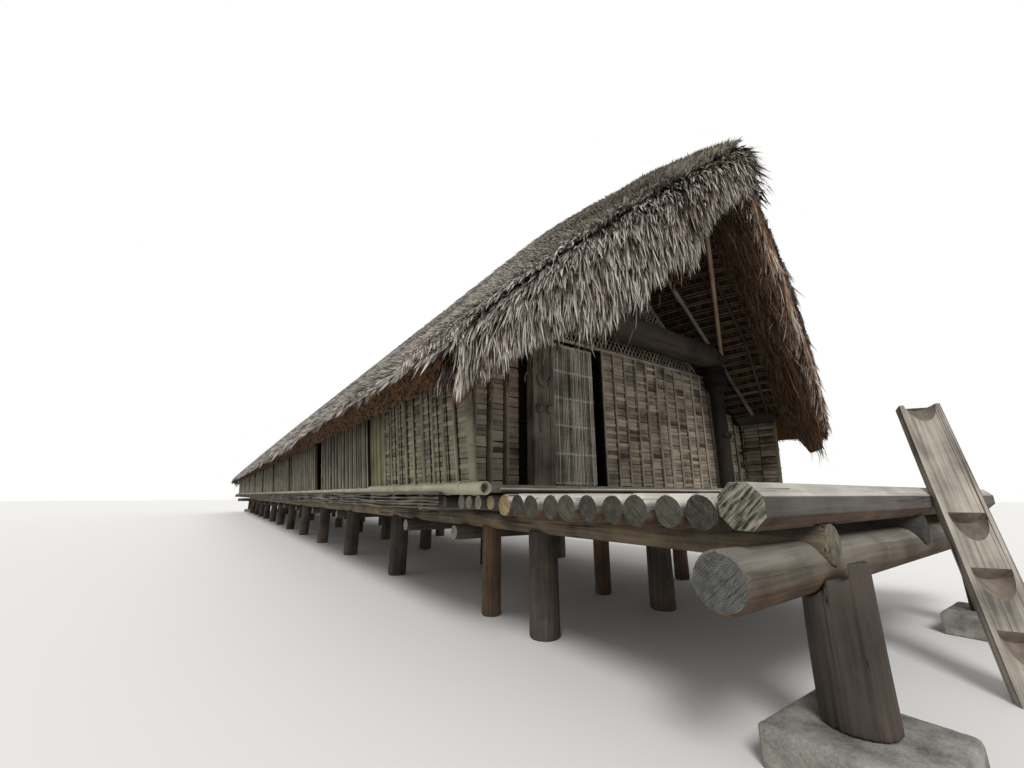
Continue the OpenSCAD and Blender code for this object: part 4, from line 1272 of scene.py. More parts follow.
class LONGHOUSE_OT_eaves(bpy.types.Operator):
    """Set the short butt ends on the face of both eaves and the tufts that fall over their edge"""

    bl_idname = "longhouse.eaves"
    bl_label = "Eaves"

    def execute(self, context):
        n = context.scene.longhouse_thatch.eave_tufts
        for side, name in SIDES:
            rng = np.random.default_rng(41 + side)
            parts = Parts()
            self.edge(parts, rng, n, side)
            self.face(parts, rng, n, side)
            settle(parts.build("eave_butts_" + name, ["butts"]), HOUSE)
        return {"FINISHED"}

    def level(self, rng, n):
        """Directions that lie roughly along the eave."""
        return unit(xyz(rng.normal(0, 0.3, n), 1.0, rng.normal(0, 0.3, n)))

    def edge(self, parts, rng, n, side):
        """Tufts that fall over the edge."""
        y = rng.uniform(RAKE - VERGE_Y, VERGE_Y - RAKE, n)
        place, fall, out = slope(side, rng.uniform(0.95, 1.0, n), y)
        drop = rng.uniform(0.015, 0.06, n) * (1 + 0.6 * lattice_noise(place * [0, 5, 0], 4))
        tip = place + fall * rng.uniform(0.03, 0.07, n)[:, None] - Z * drop[:, None]
        tip = tip + out * rng.uniform(0, 0.01, n)[:, None]
        tip[:, 1] += rng.normal(0, 0.012, n)
        flat = self.level(rng, n)
        width = rng.uniform(0.012, 0.028, n)
        tufts(parts, place, droop(tip), flat, width, np.clip(rng.normal(0.56, 0.15, n), 0, 1))

    def face(self, parts, rng, n, side):
        """Short butt ends on the cut face, darker lower down."""
        y = rng.uniform(RAKE - VERGE_Y, VERGE_Y - RAKE, n)
        q = rng.uniform(0.0, 1, n)
        x, z = EAVE_X + (TIP_X - EAVE_X) * q, EAVE_TOP + (TIP_Z - EAVE_TOP) * q
        place = xyz(side * x, y, z)
        short = rng.uniform(0.012, 0.032, n)
        tip = place + xyz(side * short * 0.5, rng.normal(0, 0.006, n), -short)
        flat = self.level(rng, n)
        width = rng.uniform(0.008, 0.016, n)
        tone = np.clip(rng.normal(0.56, 0.14, n) - 0.46 * q, 0, 1)
        tufts(parts, place, tip, flat, width, tone)


# Laths under the thatch: their shares of the slope, and the section of one
LATH_ROWS = np.arange(0.05, 0.94, 0.036)
LATH = np.array([(-0.0065, 0, 0.0), (0, 0, 0.005), (0.0065, 0, 0.0), (0, 0, -0.007)])
LEAF_STEP, LEAVES = 0.021, 150


class LONGHOUSE_OT_battens(bpy.types.Operator):
    """Tie the paired laths under the thatch, with the leaf bundles that show between them"""

    bl_idname = "longhouse.battens"
    bl_label = "Roof battens"

    def execute(self, context):
        for side, name in SIDES:
            rng = np.random.default_rng(51 + side)
            laths, leaves = Parts(), Parts()
            for t in LATH_ROWS:
                reach = verge_y(t) - 0.06
                for beside in (0.0, 0.010):
                    self.lath(laths, rng, side, (t + beside) * TIP_X, reach)
                for end in (-1, 1):
                    self.leaf_row(leaves, rng, side, end, t, reach)
            lath_piece = laths.build("roof_battens_" + name, ["lath"])
            settle(lath_piece, HOUSE)
            leaf_piece = leaves.build("leaf_bundles_" + name, ["leaf"])
            settle(leaf_piece, HOUSE)
        return {"FINISHED"}

    def lath(self, parts, rng, side, x, reach):
        """One lath from verge to verge, that follows the dip of both prows."""
        bends = (np.linspace(-reach, -6, 13), np.linspace(-4, 4, 4), np.linspace(6, reach, 13))
        y = np.concatenate(bends)
        z = under_z(np.full_like(y, x), y) - 0.010 + rng.normal(0, 0.002, len(y))
        co = xyz(side * x, y, z)[:, None] + LATH
        grain, tone = co[..., [1, 0, 2]], rng.uniform(0.2, 0.9)
        parts.add(co, net(len(y), len(LATH)), tone=tone, grain=grain)

    def leaf_row(self, parts, rng, side, end, t, reach):
        """Leaf bundles between two laths, from the verge inwards."""
        n = LEAVES
        y = end * (reach - np.arange(n) * LEAF_STEP + rng.normal(0, 0.004, n))
        a = (t + 0.013 + rng.uniform(0, 0.006, n)) * TIP_X
        b = (t + 0.034 + rng.uniform(-0.006, 0.004, n)) * TIP_X
        off = rng.uniform(0.001, 0.012, n)
        half = rng.uniform(0.005, 0.010, n)
        slide = rng.normal(0, 0.005, n)
        corners = [(a, y - half), (a, y + half), (b, y + half + slide), (b, y - half + slide)]
        co = np.stack([xyz(side * x, v, under_z(x, v) - off) for x, v in corners], axis=1)
        tone = np.repeat(rng.uniform(0, 1, n), 4)
        parts.add(co, np.arange(4 * n).reshape(-1, 4), tone=tone)


# Timber

DECK_LOGS, DECK_LOG_R, DECK_LOG_STEP, DECK_HALF = 10, 0.0525, 0.106, 1.38
DECK_EDGE = 0.118
CARRIER_HALF, CARRIER_Z, CARRIER_IN = 1.46, 0.499, 0.095
CARRIER_RADII = (0.075, 0.062)
EDGE_LOG_Z, EDGE_LOG_IN = 0.672, 0.059
BEAM_R, BEAM_HALF = 0.065, 10.605
STILT_TOP, STILT_R, PROP_R, PROP_Y = 0.515, 0.08, 0.061, 8.76
SLUNG_HALF, SLUNG_Z, SLUNG_R = 1.1, 0.459, 0.05
JOISTS, JOIST_Y, JOIST_Z, JOIST_HALF, JOIST_R = 46, 9.382, 0.664, 1.55, 0.046


class LONGHOUSE_OT_decks(bpy.types.Operator):
    """Lay the round logs of both decks on their carrying logs, with the hewn log at the edge"""

    bl_idname = "longhouse.decks"
    bl_label = "Log decks"

    def execute(self, context):
        rough = context.scene.longhouse_timber.unevenness
        carriers = Parts()
        for end, name in ENDS:
            parts = Parts()
            for i in range(DECK_LOGS):
                wobble = 0.009 * math.sin(math.radians(i * 137))
                y = end * (END_Y - DECK_EDGE - DECK_LOG_R - 0.001 - i * DECK_LOG_STEP)
                r = DECK_LOG_R - 0.002 * abs(math.sin(math.radians(i * 71)))
                z = BEAM_TOP + 0.0345
                near, far = (end * (DECK_HALF - wobble), y, z), (end * (-DECK_HALF - wobble), y, z)
                tone, ends = 0.35 + 0.05 * (i * 7 % 9), 2 if i == DECK_LOGS - 1 else 1
                log(parts, far, near, r, r, 100 + i, 18, rough, 0.12, tone=tone, ends=ends)
            finish = ("bleached", "end_dark", "end_tan")
            piece = parts.build("deck_raft_" + name, finish, True)
            settle(piece, HOUSE, ("deck_logs_" + name,))
            y = end * (END_Y - CARRIER_IN)
            thick, thin = (end * CARRIER_HALF, y, CARRIER_Z), (-end * CARRIER_HALF, y, CARRIER_Z)
            log(carriers, thick, thin, *CARRIER_RADII, 7 + end, 24, rough * 0.7, 0.1)
        piece = carriers.build("deck_carriers", ["carrier", "end_grey"], True)
        settle(piece, HOUSE, ("carrier_logs",))
        heart, finish = (0, EDGE_LOG_IN - END_Y, EDGE_LOG_Z), ("hewn", "end_hewn")
        piece = carved("edge_logs", "hewn_edge_logs", finish, ACROSS, heart, bevel=0.004)
        settle(piece, HOUSE, ("edge_logs",))
        return {"FINISHED"}


class LONGHOUSE_OT_timbers(bpy.types.Operator):
    """Set the posts, beams and cross logs under the floor and the tie beams over it"""

    bl_idname = "longhouse.timbers"
    bl_label = "Timbers"

    def execute(self, context):
        rough = context.scene.longhouse_timber.unevenness
        frames = [-FRAME_Y] + inner_frames() + [FRAME_Y]
        for x, name in ((-ROW_X, "left"), (0.0, "middle"), (ROW_X, "right")):
            self.beams(rough, frames, x, name)
            self.posts(rough, frames, x, name)
        slung = Parts()
        places = [-8.49, -7.62] + [y + 0.34 for y in frames[2:6]]
        for i, y in enumerate(places + [-y for y in places]):
            a, b = (-SLUNG_HALF, y, SLUNG_Z), (SLUNG_HALF, y, SLUNG_Z)
            log(slung, a, b, SLUNG_R, SLUNG_R - 0.002, 370 + i, 14, rough, 0.2, tone=0.75)
        piece = slung.build("slung_logs", ["brown", "end_pale"], True)
        settle(piece, HOUSE, ("cross_logs",))
        joists = Parts()
        for i in range(JOISTS):
            y = -JOIST_Y + i * 2 * JOIST_Y / (JOISTS - 1)
            half, r = JOIST_HALF, JOIST_R
            if i in (0, JOISTS - 1):
                y, half, r = y * 1.0025, 1.39, 0.036
            log(joists, (-half, y, JOIST_Z), (half, y, JOIST_Z), r, r, 720 + i, 12, rough, 0.5)
        piece = joists.build("joist_logs", ["brown", "end_tan"], True)
        settle(piece, HOUSE, ("floor_joists",))
        for finish, nodes in (
            ("brown_x", ("tie_beams_end", "tie_beams_inner")),
            ("brown_y", ("roof_plates", "ridge_pole")),
            ("brown_z", ("king_posts", "inner_posts")),
            ("face_z", ("plank_posts",)),
            ("pot_z", ("pot_posts",)),
        ):
            for node in nodes:
                dress(node, finish)
        return {"FINISHED"}

    def beams(self, rough, frames, x, name):
        """One row of long beams, lapped over the frames and hewn flat on top."""
        parts = Parts()
        cuts = [-BEAM_HALF, frames[1], frames[4], -frames[4], -frames[1], BEAM_HALF]
        for i in range(5):
            a, b = (x, cuts[i] + 0.001, BEAM_Z), (x, cuts[i + 1] - 0.001, BEAM_Z)
            seed, tone = 200 + i + int(x * 10), 0.4 if i in (0, 4) else 0.95
            log(parts, a, b, BEAM_R, BEAM_R, seed, 18, rough * 0.6, 0.16, top=BEAM_TOP, tone=tone)
        finish = ("tan" if x else "charred", "end_green" if x < 0 else "end_dark")
        piece = parts.build("long_beam_" + name, finish, True)
        settle(piece, HOUSE, ("floor_beam_" + name,))

    def posts(self, rough, frames, x, name):
        """One row of posts from the ground to the beams, with the slim props of the end bays."""
        parts = Parts()
        for i, y in enumerate(frames):
            foot, head, seed = (x, y, 0), (x, y, STILT_TOP), 300 + i + int(x * 50)
            log(parts, foot, head, STILT_R, STILT_R - 0.002, seed, 16, rough, 0.1, ends=2)
        for y in (-PROP_Y, PROP_Y):
            foot, head, seed = (x, y, 0), (x, y, STILT_TOP), 340 + int(x * 50 + y)
            log(parts, foot, head, PROP_R, PROP_R - 0.001, seed, 16, rough, 0.1, slot=1, ends=2)
        piece = parts.build("floor_posts_" + name, ["brown", "ruddy", "end_pale"], True)
        settle(piece, HOUSE, ("stilts_" + name,))


class LONGHOUSE_OT_carving(bpy.types.Operator):
    """Wear the hewn pieces: notched posts, scooped ladders and footings"""

    bl_idname = "longhouse.carving"
    bl_label = "Hewn pieces"

    def execute(self, context):
        notched, planks = ("notched", "end_dark"), ("plank", "scoop_shade")
        posts = carved("deck_posts", "notched_posts", notched, UPRIGHT, voxel=0.008, wear=0.003)
        settle(posts, HOUSE, ("deck_posts",))
        # Faces turned along the grain by more than 0.2, the scoops and the sawn ends, take the
        # darker finish: painted shade in the scoops
        ladders = carved("ladders", "scooped_ladders", planks, LADDER, bevel=0.003, cut=0.2)
        settle(ladders, HOUSE, ("ladders",))
        stone = ("stone",)
        blocks = carved("footings", "cast_footings", stone, UPRIGHT, voxel=0.014, wear=0.004)
        settle(blocks, HOUSE, ("footings",))
        return {"FINISHED"}


RAFTERS, RAFTER_R, RAKE_R = 36, 0.018, 0.013
RAKE_PLACES = (0.23, 0.405)
RAFTER_SHARES = (0.0, KNEE_X / TIP_X, LIP_X / TIP_X)


class LONGHOUSE_OT_rafters(bpy.types.Operator):
    """Lay the rafters of each slope, with the raked poles and the pale bamboo of the prows"""

    bl_idname = "longhouse.rafters"
    bl_label = "Rafters"

    def execute(self, context):
        for side, name in SIDES:
            parts = Parts()
            for i in range(RAFTERS):
                y = -FRAME_Y + i * 2 * FRAME_Y / (RAFTERS - 1)
                drop = 0.032 if abs(y) > 7.35 else 0.026
                top, knee, lip = (self.under(side, t, y, drop) for t in RAFTER_SHARES)
                if i in (0, RAFTERS - 1):
                    culm(parts, top, knee, RAFTER_R, 500 + i, 0.24, 10)
                    culm(parts, knee, lip, RAFTER_R, 540 + i, 0.24, 10)
                else:
                    self.pole(parts, (top, knee, lip), RAFTER_R, (500 + i, 540 + i))
            for end in (-1, 1):
                for rake in RAKE_PLACES:
                    bends = [
                        self.under(side, t, end * (float(verge_y(t)) - rake), 0.028)
                        for t in RAFTER_SHARES
                    ]
                    self.pole(parts, bends, RAKE_R, (580 + side + end, 590 + side + end))
            piece = parts.build("rafter_poles_" + name, ["pole_grey", "brown"], True)
            settle(piece, HOUSE, ("rafters_" + name,))
        return {"FINISHED"}

    def under(self, side, t, y, drop):
        """A place below the thatch at slope share t."""
        return (side * t * TIP_X, y, float(under_z(t * TIP_X, y)) - drop)

    def pole(self, parts, bends, r, seeds):
        """A rafter in two lengths that meet at the knee, thicker there."""
        top, knee, lip = bends
        log(parts, top, knee, r, r + 0.002, seeds[0], 8, 0.05, 0.4, slot=1, ends=1)
        log(parts, knee, lip, r + 0.002, r, seeds[1], 8, 0.05, 0.4, slot=1, ends=1)


# Bamboo

# The side walls lean out: their run and rise, and their directions on the left side
WALL_RUN, WALL_RISE = 0.06, 0.585
WALL_SLANT = math.hypot(WALL_RUN, WALL_RISE)
WALL_UP = np.array([-WALL_RUN, 0, WALL_RISE]) / WALL_SLANT
WALL_OUT = np.array([-WALL_RISE, 0, -WALL_RUN]) / WALL_SLANT
WALL_X = 1.5
WINDOWS, WINDOW_W, WINDOW_STEP, WINDOW_Y = 9, 0.372, 2.0165, 1.183 - HALL_Y
WINDOW_SHARES = (0.06, 0.96, 0.6)

# Slots of the side walls' materials
WOVEN, BATTEN, CORNER_BATTEN, SHUTTER, LINING, SHADOW_STRIP, UPRIGHT_MAT = range(7)
SIDE_FINISHES = (
    "mat_green", "batten_side", "batten_green", "shutter", "mat", "batten_shadow", "mat_side"
)


class LONGHOUSE_OT_side_mats(bpy.types.Operator):
    """Weave the leaning side walls panel by panel, with their battens and window mats"""

    bl_idname = "longhouse.side_mats"
    bl_label = "Side walls"

    def execute(self, context):
        strip = context.scene.longhouse_mat.strip
        # The walls and window mats behind the woven strips are painted near black, as shade seen
        # through their gaps
        for node in ("side_wall_left", "side_wall_right", "window_mats"):
            dress(node, "painted_gap_shade")
        edges = [-HALL_Y]
        for i in range(WINDOWS):
            edges += [WINDOW_Y + i * WINDOW_STEP, WINDOW_Y + i * WINDOW_STEP + WINDOW_W]
        edges.append(HALL_Y)
        for side, name in SIDES:
            parts = Parts()
            for k in range(WINDOWS + 1):
                self.panel(parts, side, k, edges[2 * k], edges[2 * k + 1], strip)
            for i in range(WINDOWS):
                self.window(parts, side, i, edges[2 * i + 1])
            piece = parts.build("side_mats_" + name, SIDE_FINISHES)
            settle(piece, HOUSE)
        return {"FINISHED"}

    def weave(self, parts, side, foot, out, length, height, cell, strip, seed, **more):
        """A mat that stands on a place of the left wall, or on its half turn at the right."""
        place, along, up, out = (placed(v, side) for v in (foot, Y, WALL_UP, out))
        mat(parts, place, along, up, out, length, height, cell, strip, seed, **more)

    def panel(self, parts, side, k, a, b, strip):
        """One panel from a to b: woven strips and painted batten shadows at the corners, upright
        strips between, and battens.
        """
        foot, length, height = (-WALL_X, a, FLOOR_Z), b - a, WALL_SLANT - 0.004
        corner, beside = k in (0, WINDOWS), k in (1, WINDOWS - 1)
        count = max(2, round(length / (0.122 if k else 0.132)))
        cell = length / count
        if corner:
            wide, tall, more = cell, strip * 0.8, {"gap": 0.0004, "seam": 0.003, "slot": WOVEN}
        else:
            wide, tall = cell / (2 if beside else 4), 0.6
            seam = 0.006 if beside else 0.0045
            more = {"upright": True, "seam": seam, "slot": UPRIGHT_MAT}
        self.weave(parts, side, foot, WALL_OUT, length, height, wide, tall, 60 + k, **more)
        rise = WALL_UP * (WALL_SLANT - 0.006)
        out, slot = placed(WALL_OUT, side), BATTEN if k else CORNER_BATTEN
        for i in range(count + 1):
            y = a + 0.008 + i * (length - 0.016) / count
            foot = np.array([-WALL_X, y, FLOOR_Z + 0.001]) + WALL_OUT * 0.002
            head = foot + rise
            lower, upper, seed = placed(foot, side), placed(head, side), 900 + i + 40 * k
            batten(parts, lower, upper, out, 0.018, 0.012, seed, 0.75, slot)
            # Beside each batten of a corner panel but the first lies a thin dark strip, a painted
            # shadow
            if i and corner:
                lower, upper = placed(foot - Y * 0.018, side), placed(head - Y * 0.018, side)
                batten(parts, lower, upper, out, 0.016, 0.005, 960 + i, 0.2, SHADOW_STRIP)
        inner, height = (0.0165 - WALL_X, a, FLOOR_Z + 0.001), WALL_SLANT - 0.006
        more = {"seam": 0.003, "slot": LINING}
        self.weave(parts, side, inner, -WALL_OUT, length, height, 0.125, strip, 70 + k, **more)

    def window(self, parts, side, i, start):
        """The sliding mat of one window, inside the wall and left at its own opening."""
        y = start + WINDOW_W * WINDOW_SHARES[i % 3] - WINDOW_W * 0.02
        foot, length = np.array([-WALL_X, y, FLOOR_Z]) - WALL_OUT * 0.0135, WINDOW_W * 0.94
        more = {"upright": True, "seam": 0.0004, "slot": SHUTTER}
        height = WALL_SLANT - 0.012
        self.weave(parts, side, foot, WALL_OUT, length, height, 0.04, 0.6, 80 + i, **more)


# Hall wall from its doorway to the right, and the wings with the rise of their tops
GABLE_Y = -FRAME_Y + 0.115
HALL_WALL_X, HALL_WALL_W, HALL_WALL_H, HALL_CELLS = -0.33, 1.359, 0.95, 11
WINGS = ((-1.482, -1.045, 0.385 / 0.523), (1.03, 1.482, -0.385 / 0.488))
WING_PARTS, WING_H, WING_X = 4, 0.545, 1.518
# Slots of the gable battens: pale ones, and the dark strips beside them that are painted shadow
PALE, DARK = 1, 2


class LONGHOUSE_OT_gable_mats(bpy.types.Operator):
    """Weave the hall walls and the wing walls under both gables, with their battens"""

    bl_idname = "longhouse.gable_mats"
    bl_label = "Gable walls"

    def execute(self, context):
        strip = context.scene.longhouse_mat.strip
        # The walls behind the mats are painted near black, as shade seen through their gaps
        for node in ("wing_walls", "front_wall", "rear_wall"):
            dress(node, "painted_gap_shade")
        for end, name in ENDS:
            parts = Parts()
            self.hall_wall(parts, end, strip)
            for x0, x1, rise in WINGS:
                self.wing(parts, end, strip, x0, x1, rise)
            piece = parts.build("gable_mats_" + name, ["mat", "batten", "batten_shadow"])
            settle(piece, HOUSE)
        return {"FINISHED"}

    def weave(self, parts, end, x, width, height, cell, strip, seed, **more):
        """A mat on the gable wall from x to the right."""
        place, along, out = placed((x, GABLE_Y, FLOOR_Z), end), placed(X, end), placed(-Y, end)
        mat(parts, place, along, Z, out, width, height, cell, strip, seed, **more)

    def stand(self, parts, end, x, off, height, width, depth, seed, tone, slot):
        """A batten on the gable wall."""
        foot, head = (x, GABLE_Y - off, FLOOR_Z), (x, GABLE_Y - off, FLOOR_Z + height)
        foot, head, out = placed(foot, end), placed(head, end), placed(-Y, end)
        batten(parts, foot, head, out, width, depth, seed, tone, slot)

    def hall_wall(self, parts, end, strip):
        """The wall of the hall, with pale battens and a dark strip beside each, a painted shadow.
        """
        cell, more = 0.1235, {"gap": 0.001, "seam": 0.003, "stagger": 0.4}
        width, height = HALL_WALL_W, HALL_WALL_H
        self.weave(parts, end, HALL_WALL_X, width, height, cell, strip * 0.9, 91, **more)
        for i in range(HALL_CELLS + 1):
            x = HALL_WALL_X + 0.008 + i * (width - 0.016) / HALL_CELLS
            self.stand(parts, end, x, 0.003, height - 0.002, 0.015, 0.013, 700 + i, 0.7, PALE)
            if i:
                x, tall = x - 0.016, height - 0.002
                self.stand(parts, end, x, 0.002, tall, 0.013, 0.005, 720 + i, 0.2, DARK)

    def wing(self, parts, end, strip, x0, x1, rise):
        """One wing wall in upright parts that step down towards the side."""
        more = {"gap": 0.001, "seam": 0.004, "stagger": 0.5}
        for k in range(WING_PARTS):
            a = x0 + (x1 - x0) * k / WING_PARTS
            b = x0 + (x1 - x0) * (k + 1) / WING_PARTS
            height = WING_H + abs(rise) * (WING_X - abs(a if rise > 0 else b))
            self.weave(parts, end, a, b - a, height, 0.12, strip, 95 + k, **more)
            # Each pale batten has a dark strip beside it, a painted shadow
            for x, slot in ((a + 0.008, DARK), (a + 0.03, PALE)):
                self.stand(parts, end, x, 0.003, height, 0.018, 0.012, 800 + k, 0.5, slot)


# Triangle of the gable lattice: its foot, half width, height and middle
LATTICE_Z, LATTICE_HALF, LATTICE_H, LATTICE_X = 1.720, 0.86, 0.76, 0.02
LATTICE_STEP, LATTICE_ANGLE = 0.042, 58


class LONGHOUSE_OT_lattices(bpy.types.Operator):
    """Cross the fine split bars of both gable lattices between their edge poles"""

    bl_idname = "longhouse.lattices"
    bl_label = "Gable lattices"

    def execute(self, context):
        rng = np.random.default_rng(71)
        parts = Parts()
        half, high, x0 = LATTICE_HALF, LATTICE_H, LATTICE_X
        y = -WALL_BACK_Y - 0.007
        for end in (-1, 1):
            for angle, layer in ((LATTICE_ANGLE, -0.002), (-LATTICE_ANGLE, 0.002)):
                for i in range(-36, 37):
                    start = i * LATTICE_STEP + rng.normal(0, 0.0015)
                    bounds = self.cut(start, angle)
                    if bounds:
                        a, b = ((x + x0, y + layer, LATTICE_Z + z) for x, z in bounds)
                        a, b, tone = placed(a, end), placed(b, end), float(rng.uniform(0.2, 1.0))
                        bar(parts, a, b, placed(-Y, end), 0.0075, 0.003, tone)
            left, right = (x0 - half, y, LATTICE_Z + 0.010), (x0 + half, y, LATTICE_Z + 0.010)
            peak = placed((x0, y, LATTICE_Z + high - 0.012), end)
            culm(parts, placed(left, end), peak, 0.009, 610, 0.22, 8)
            culm(parts, peak, placed(right, end), 0.009, 611, 0.22, 8)
        piece = parts.build("lattice_bars", ["batten"])
        settle(piece, HOUSE, ("gable_lattices",))
        return {"FINISHED"}

    def cut(self, start, angle):
        """Ends of a slanting bar that starts on the foot line, cut to the triangle, or None."""
        half, high = LATTICE_HALF, LATTICE_H
        slant = math.hypot(half, high)
        limits = [(0, -1, -0.006)]
        limits += [
            (s * high / slant, half / slant, half * high / slant - 0.008) for s in (-1, 1)
        ]
        way = (math.cos(math.radians(angle)), math.sin(math.radians(angle)))
        low, top = -3.0, 3.0
        for nx, nz, room in limits:
            speed = nx * way[0] + nz * way[1]
            reach = (room - nx * start) / speed
            low, top = (low, min(top, reach)) if speed > 0 else (max(low, reach), top)
        if top - low < 0.02:
            return None
        return [(start + way[0] * reach, way[1] * reach) for reach in (low, top)]


# Rails and strips along the floor's edges; each rail has its two places along the house
RAIL_X, RAIL_Z = 1.528, 0.73
THICK_RAIL_Y, THICK_RAIL_R = (9.587, 8.02), 0.0285
THIN_RAIL_Y, THIN_RAIL_R = (8.1, 2.9), 0.019
MIDDLE_RAIL_Y, MIDDLE_RAIL_R = 3.0, 0.018
TIES, TIE_Y, TIE_STEP = 46, 9.38, 0.417
STRIP_ROWS, STRIP_TOP, STRIP_STEP, STRIP_X = 5, 0.700, 0.0165, 1.572
STRIP = np.array([(-0.03, 1.0), (0.0, 0.9), (0.004, 0.0), (0.0, -0.9), (-0.03, -1.0)])

# Stub logs beside each deck: place along the house, radius and reach
STUBS = ((9.33, 0.036, 1.412), (9.235, 0.036, 1.41), (9.13, 0.04, 1.395), (9.02, 0.034, 1.44))


class LONGHOUSE_OT_sills(bpy.types.Operator):
    """Lash the split strips and hollow rails along both edges of the floor, past its stub logs"""

    bl_idname = "longhouse.sills"
    bl_label = "Floor edges"

    def execute(self, context):
        for side, name in SIDES:
            rng = np.random.default_rng(61 + side)
            parts = Parts()
            self.rails(parts, side)
            self.strips(parts, rng, side)
            self.stubs(parts, side)
            finish = ("pole", "strips", "brown", "end_pale", "bleached")
            piece = parts.build("floor_edge_" + name, finish, True)
            settle(piece, HOUSE)
        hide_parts("sill_rails")
        dress("bamboo_floor", "floor_mat")
        return {"FINISHED"}

    def rails(self, parts, side):
        """Hollow rails, thick at both ends of the house, with their lashings."""
        x = side * RAIL_X
        for end in (-1, 1):
            seed = side + end
            outer, inner = (end * y for y in THICK_RAIL_Y)
            a, b = (x, outer, RAIL_Z - 0.003), (x, inner, RAIL_Z)
            culm(parts, a, b, THICK_RAIL_R, 60 + seed, 0.24, 16, 0.8)
            outer, inner = (end * y for y in THIN_RAIL_Y)
            a, b = (x, outer, RAIL_Z - 0.001), (x, inner, RAIL_Z - 0.001)
            culm(parts, a, b, THIN_RAIL_R, 64 + seed, 0.24, 12, 0.85)
        a, b = (x, -MIDDLE_RAIL_Y, RAIL_Z + 0.001), (x, MIDDLE_RAIL_Y, RAIL_Z + 0.001)
        culm(parts, a, b, MIDDLE_RAIL_R, 69 + side, 0.24, 12, 0.75)
        for k in range(TIES):
            y = -TIE_Y + k * TIE_STEP
            r = THICK_RAIL_R + 0.001 if abs(y) > THICK_RAIL_Y[1] else THIN_RAIL_R + 0.0025
            lashing(parts, (x, y, RAIL_Z), (0, 1, 0), r, 0.0025, 0.8)

    def strips(self, parts, rng, side):
        """Rows of split strips on the edge, each lapped over the next."""
        for row in range(STRIP_ROWS):
            cuts = np.linspace(-9.0, 9.0, 12) + rng.uniform(-0.6, 0.6, 12)
            cuts[0], cuts[-1] = -9.2, 9.2
            for start, reach in zip(cuts[:-1], cuts[1:]):
                self.strip(parts, rng, side, start - 0.03, reach, STRIP_TOP - row * STRIP_STEP)

    def strip(self, parts, rng, side, start, reach, z):
        """One wavy split strip along the edge of the floor, with rough upper and lower rims."""
        y = np.arange(start, reach + 0.05, 0.05)
        wave = 0.006 * lattice_noise(xyz(y * 3.1, z * 90, 0.0), 2)
        thick = 0.0055 + 0.003 * lattice_noise(xyz(y * 9, z * 70, 0.0), 6)
        bulge = 0.004 * lattice_noise(xyz(y * 5, z * 50, 0.0), 8)
        out = STRIP_X + rng.uniform(-0.006, 0.006) + bulge
        across_x, across_z = STRIP.T
        x = side * (out[:, None] + across_x)
        co = xyz(x, y[:, None], z + wave[:, None] + thick[:, None] * across_z)
        faces = net(len(y), len(STRIP), False)[:, ::side]
        grain = xyz(co[..., 1], co[..., 0] + z * 7, co[..., 2])
        parts.add(co, faces, tone=rng.uniform(0.2, 0.8), grain=grain, slot=1)

    def stubs(self, parts, side):
        """Short logs beside each deck, and the thin pole that lies across the house at its edge."""
        for end in (-1, 1):
            for k, (y, r, reach) in enumerate(STUBS):
                a, b = (side * 1.1, end * y, 0.662), (side * reach, end * y, 0.664)
                log(parts, a, b, r * 0.95, r, 640 + k, 14, 0.05, 0.1, slot=2, ends=3)
            if side < 0:
                a, b = (-1.37, end * 9.451, 0.7205), (1.37, end * 9.451, 0.7205)
                log(parts, a, b, 0.0125, 0.0125, 660 + end, 8, 0.05, 0.2, slot=4, ends=3)


# Poles: distances from the middle and heights of their feet and heads
CORNER_FOOT, CORNER_HEAD, POLE_R = (1.492, 0.712), (1.554, 1.322), 0.0165
STRUT_FOOT, STRUT_HEAD_X, STRUT_Y, STRUT_RUN = (0.985, 1.862), 0.048, 9.343, 0.5
GABLE_RAIL_X, GABLE_RAIL_Y, GABLE_RAIL_Z, GABLE_RAIL_R = (0.995, -1.03), 9.148, 1.709, 0.0135


class LONGHOUSE_OT_poles(bpy.types.Operator):
    """Set the bamboo poles: corner poles, gable rails, prow struts and eave plates"""

    bl_idname = "longhouse.poles"
    bl_label = "Bamboo poles"

    def execute(self, context):
        corners, struts, rails = Parts(), Parts(), Parts()
        for end in (-1, 1):
            for side in (-1, 1):
                self.corner(corners, end, side)
                z = float(under_z(np.array(0.0), STRUT_Y + STRUT_RUN)) - 0.05 - 0.0736
                foot = (side * STRUT_FOOT[0], end * STRUT_Y, STRUT_FOOT[1])
                head = (side * STRUT_HEAD_X, end * (STRUT_Y + STRUT_RUN), z)
                culm(struts, foot, head, POLE_R, 630 + end + side, 0.26, 12, 0.8)
            a, b = ((end * x, end * GABLE_RAIL_Y, GABLE_RAIL_Z) for x in GABLE_RAIL_X)
            culm(rails, a, b, GABLE_RAIL_R, 634 + end, 0.24, 12, 0.6)
        for parts, name, finish, node in (
            (corners, "corner_culms", "batten_green", "corner_poles"),
            (struts, "prow_culms", "pole_warm", "prow_struts"),
            (rails, "gable_culms", "batten", "gable_rails"),
        ):
            settle(parts.build(name, [finish], True), HOUSE, (node,))
        dress("eave_plates", "brown_y")
        return {"FINISHED"}

    def corner(self, parts, end, side):
        """The leaning pole at one end of a side wall, with its lashings."""
        foot, head = ((side * x, end * HALL_Y, z) for x, z in (CORNER_FOOT, CORNER_HEAD))
        culm(parts, foot, head, POLE_R, 620 + end + side, 0.22, 14, 0.7)
        for k in range(4):
            centre = [p + (q - p) * (0.08 + k * 0.26) for p, q in zip(foot, head)]
            lashing(parts, centre, (side * 0.1, 0, 1), POLE_R + 0.002, 0.0022, 0.9)


RODS, WEAVES = 44, 6
WEAVE = np.array([(0, -0.001, -0.003), (0, -0.001, 0.003), (0, 0.001, 0.003), (0, 0.001, -0.003)])


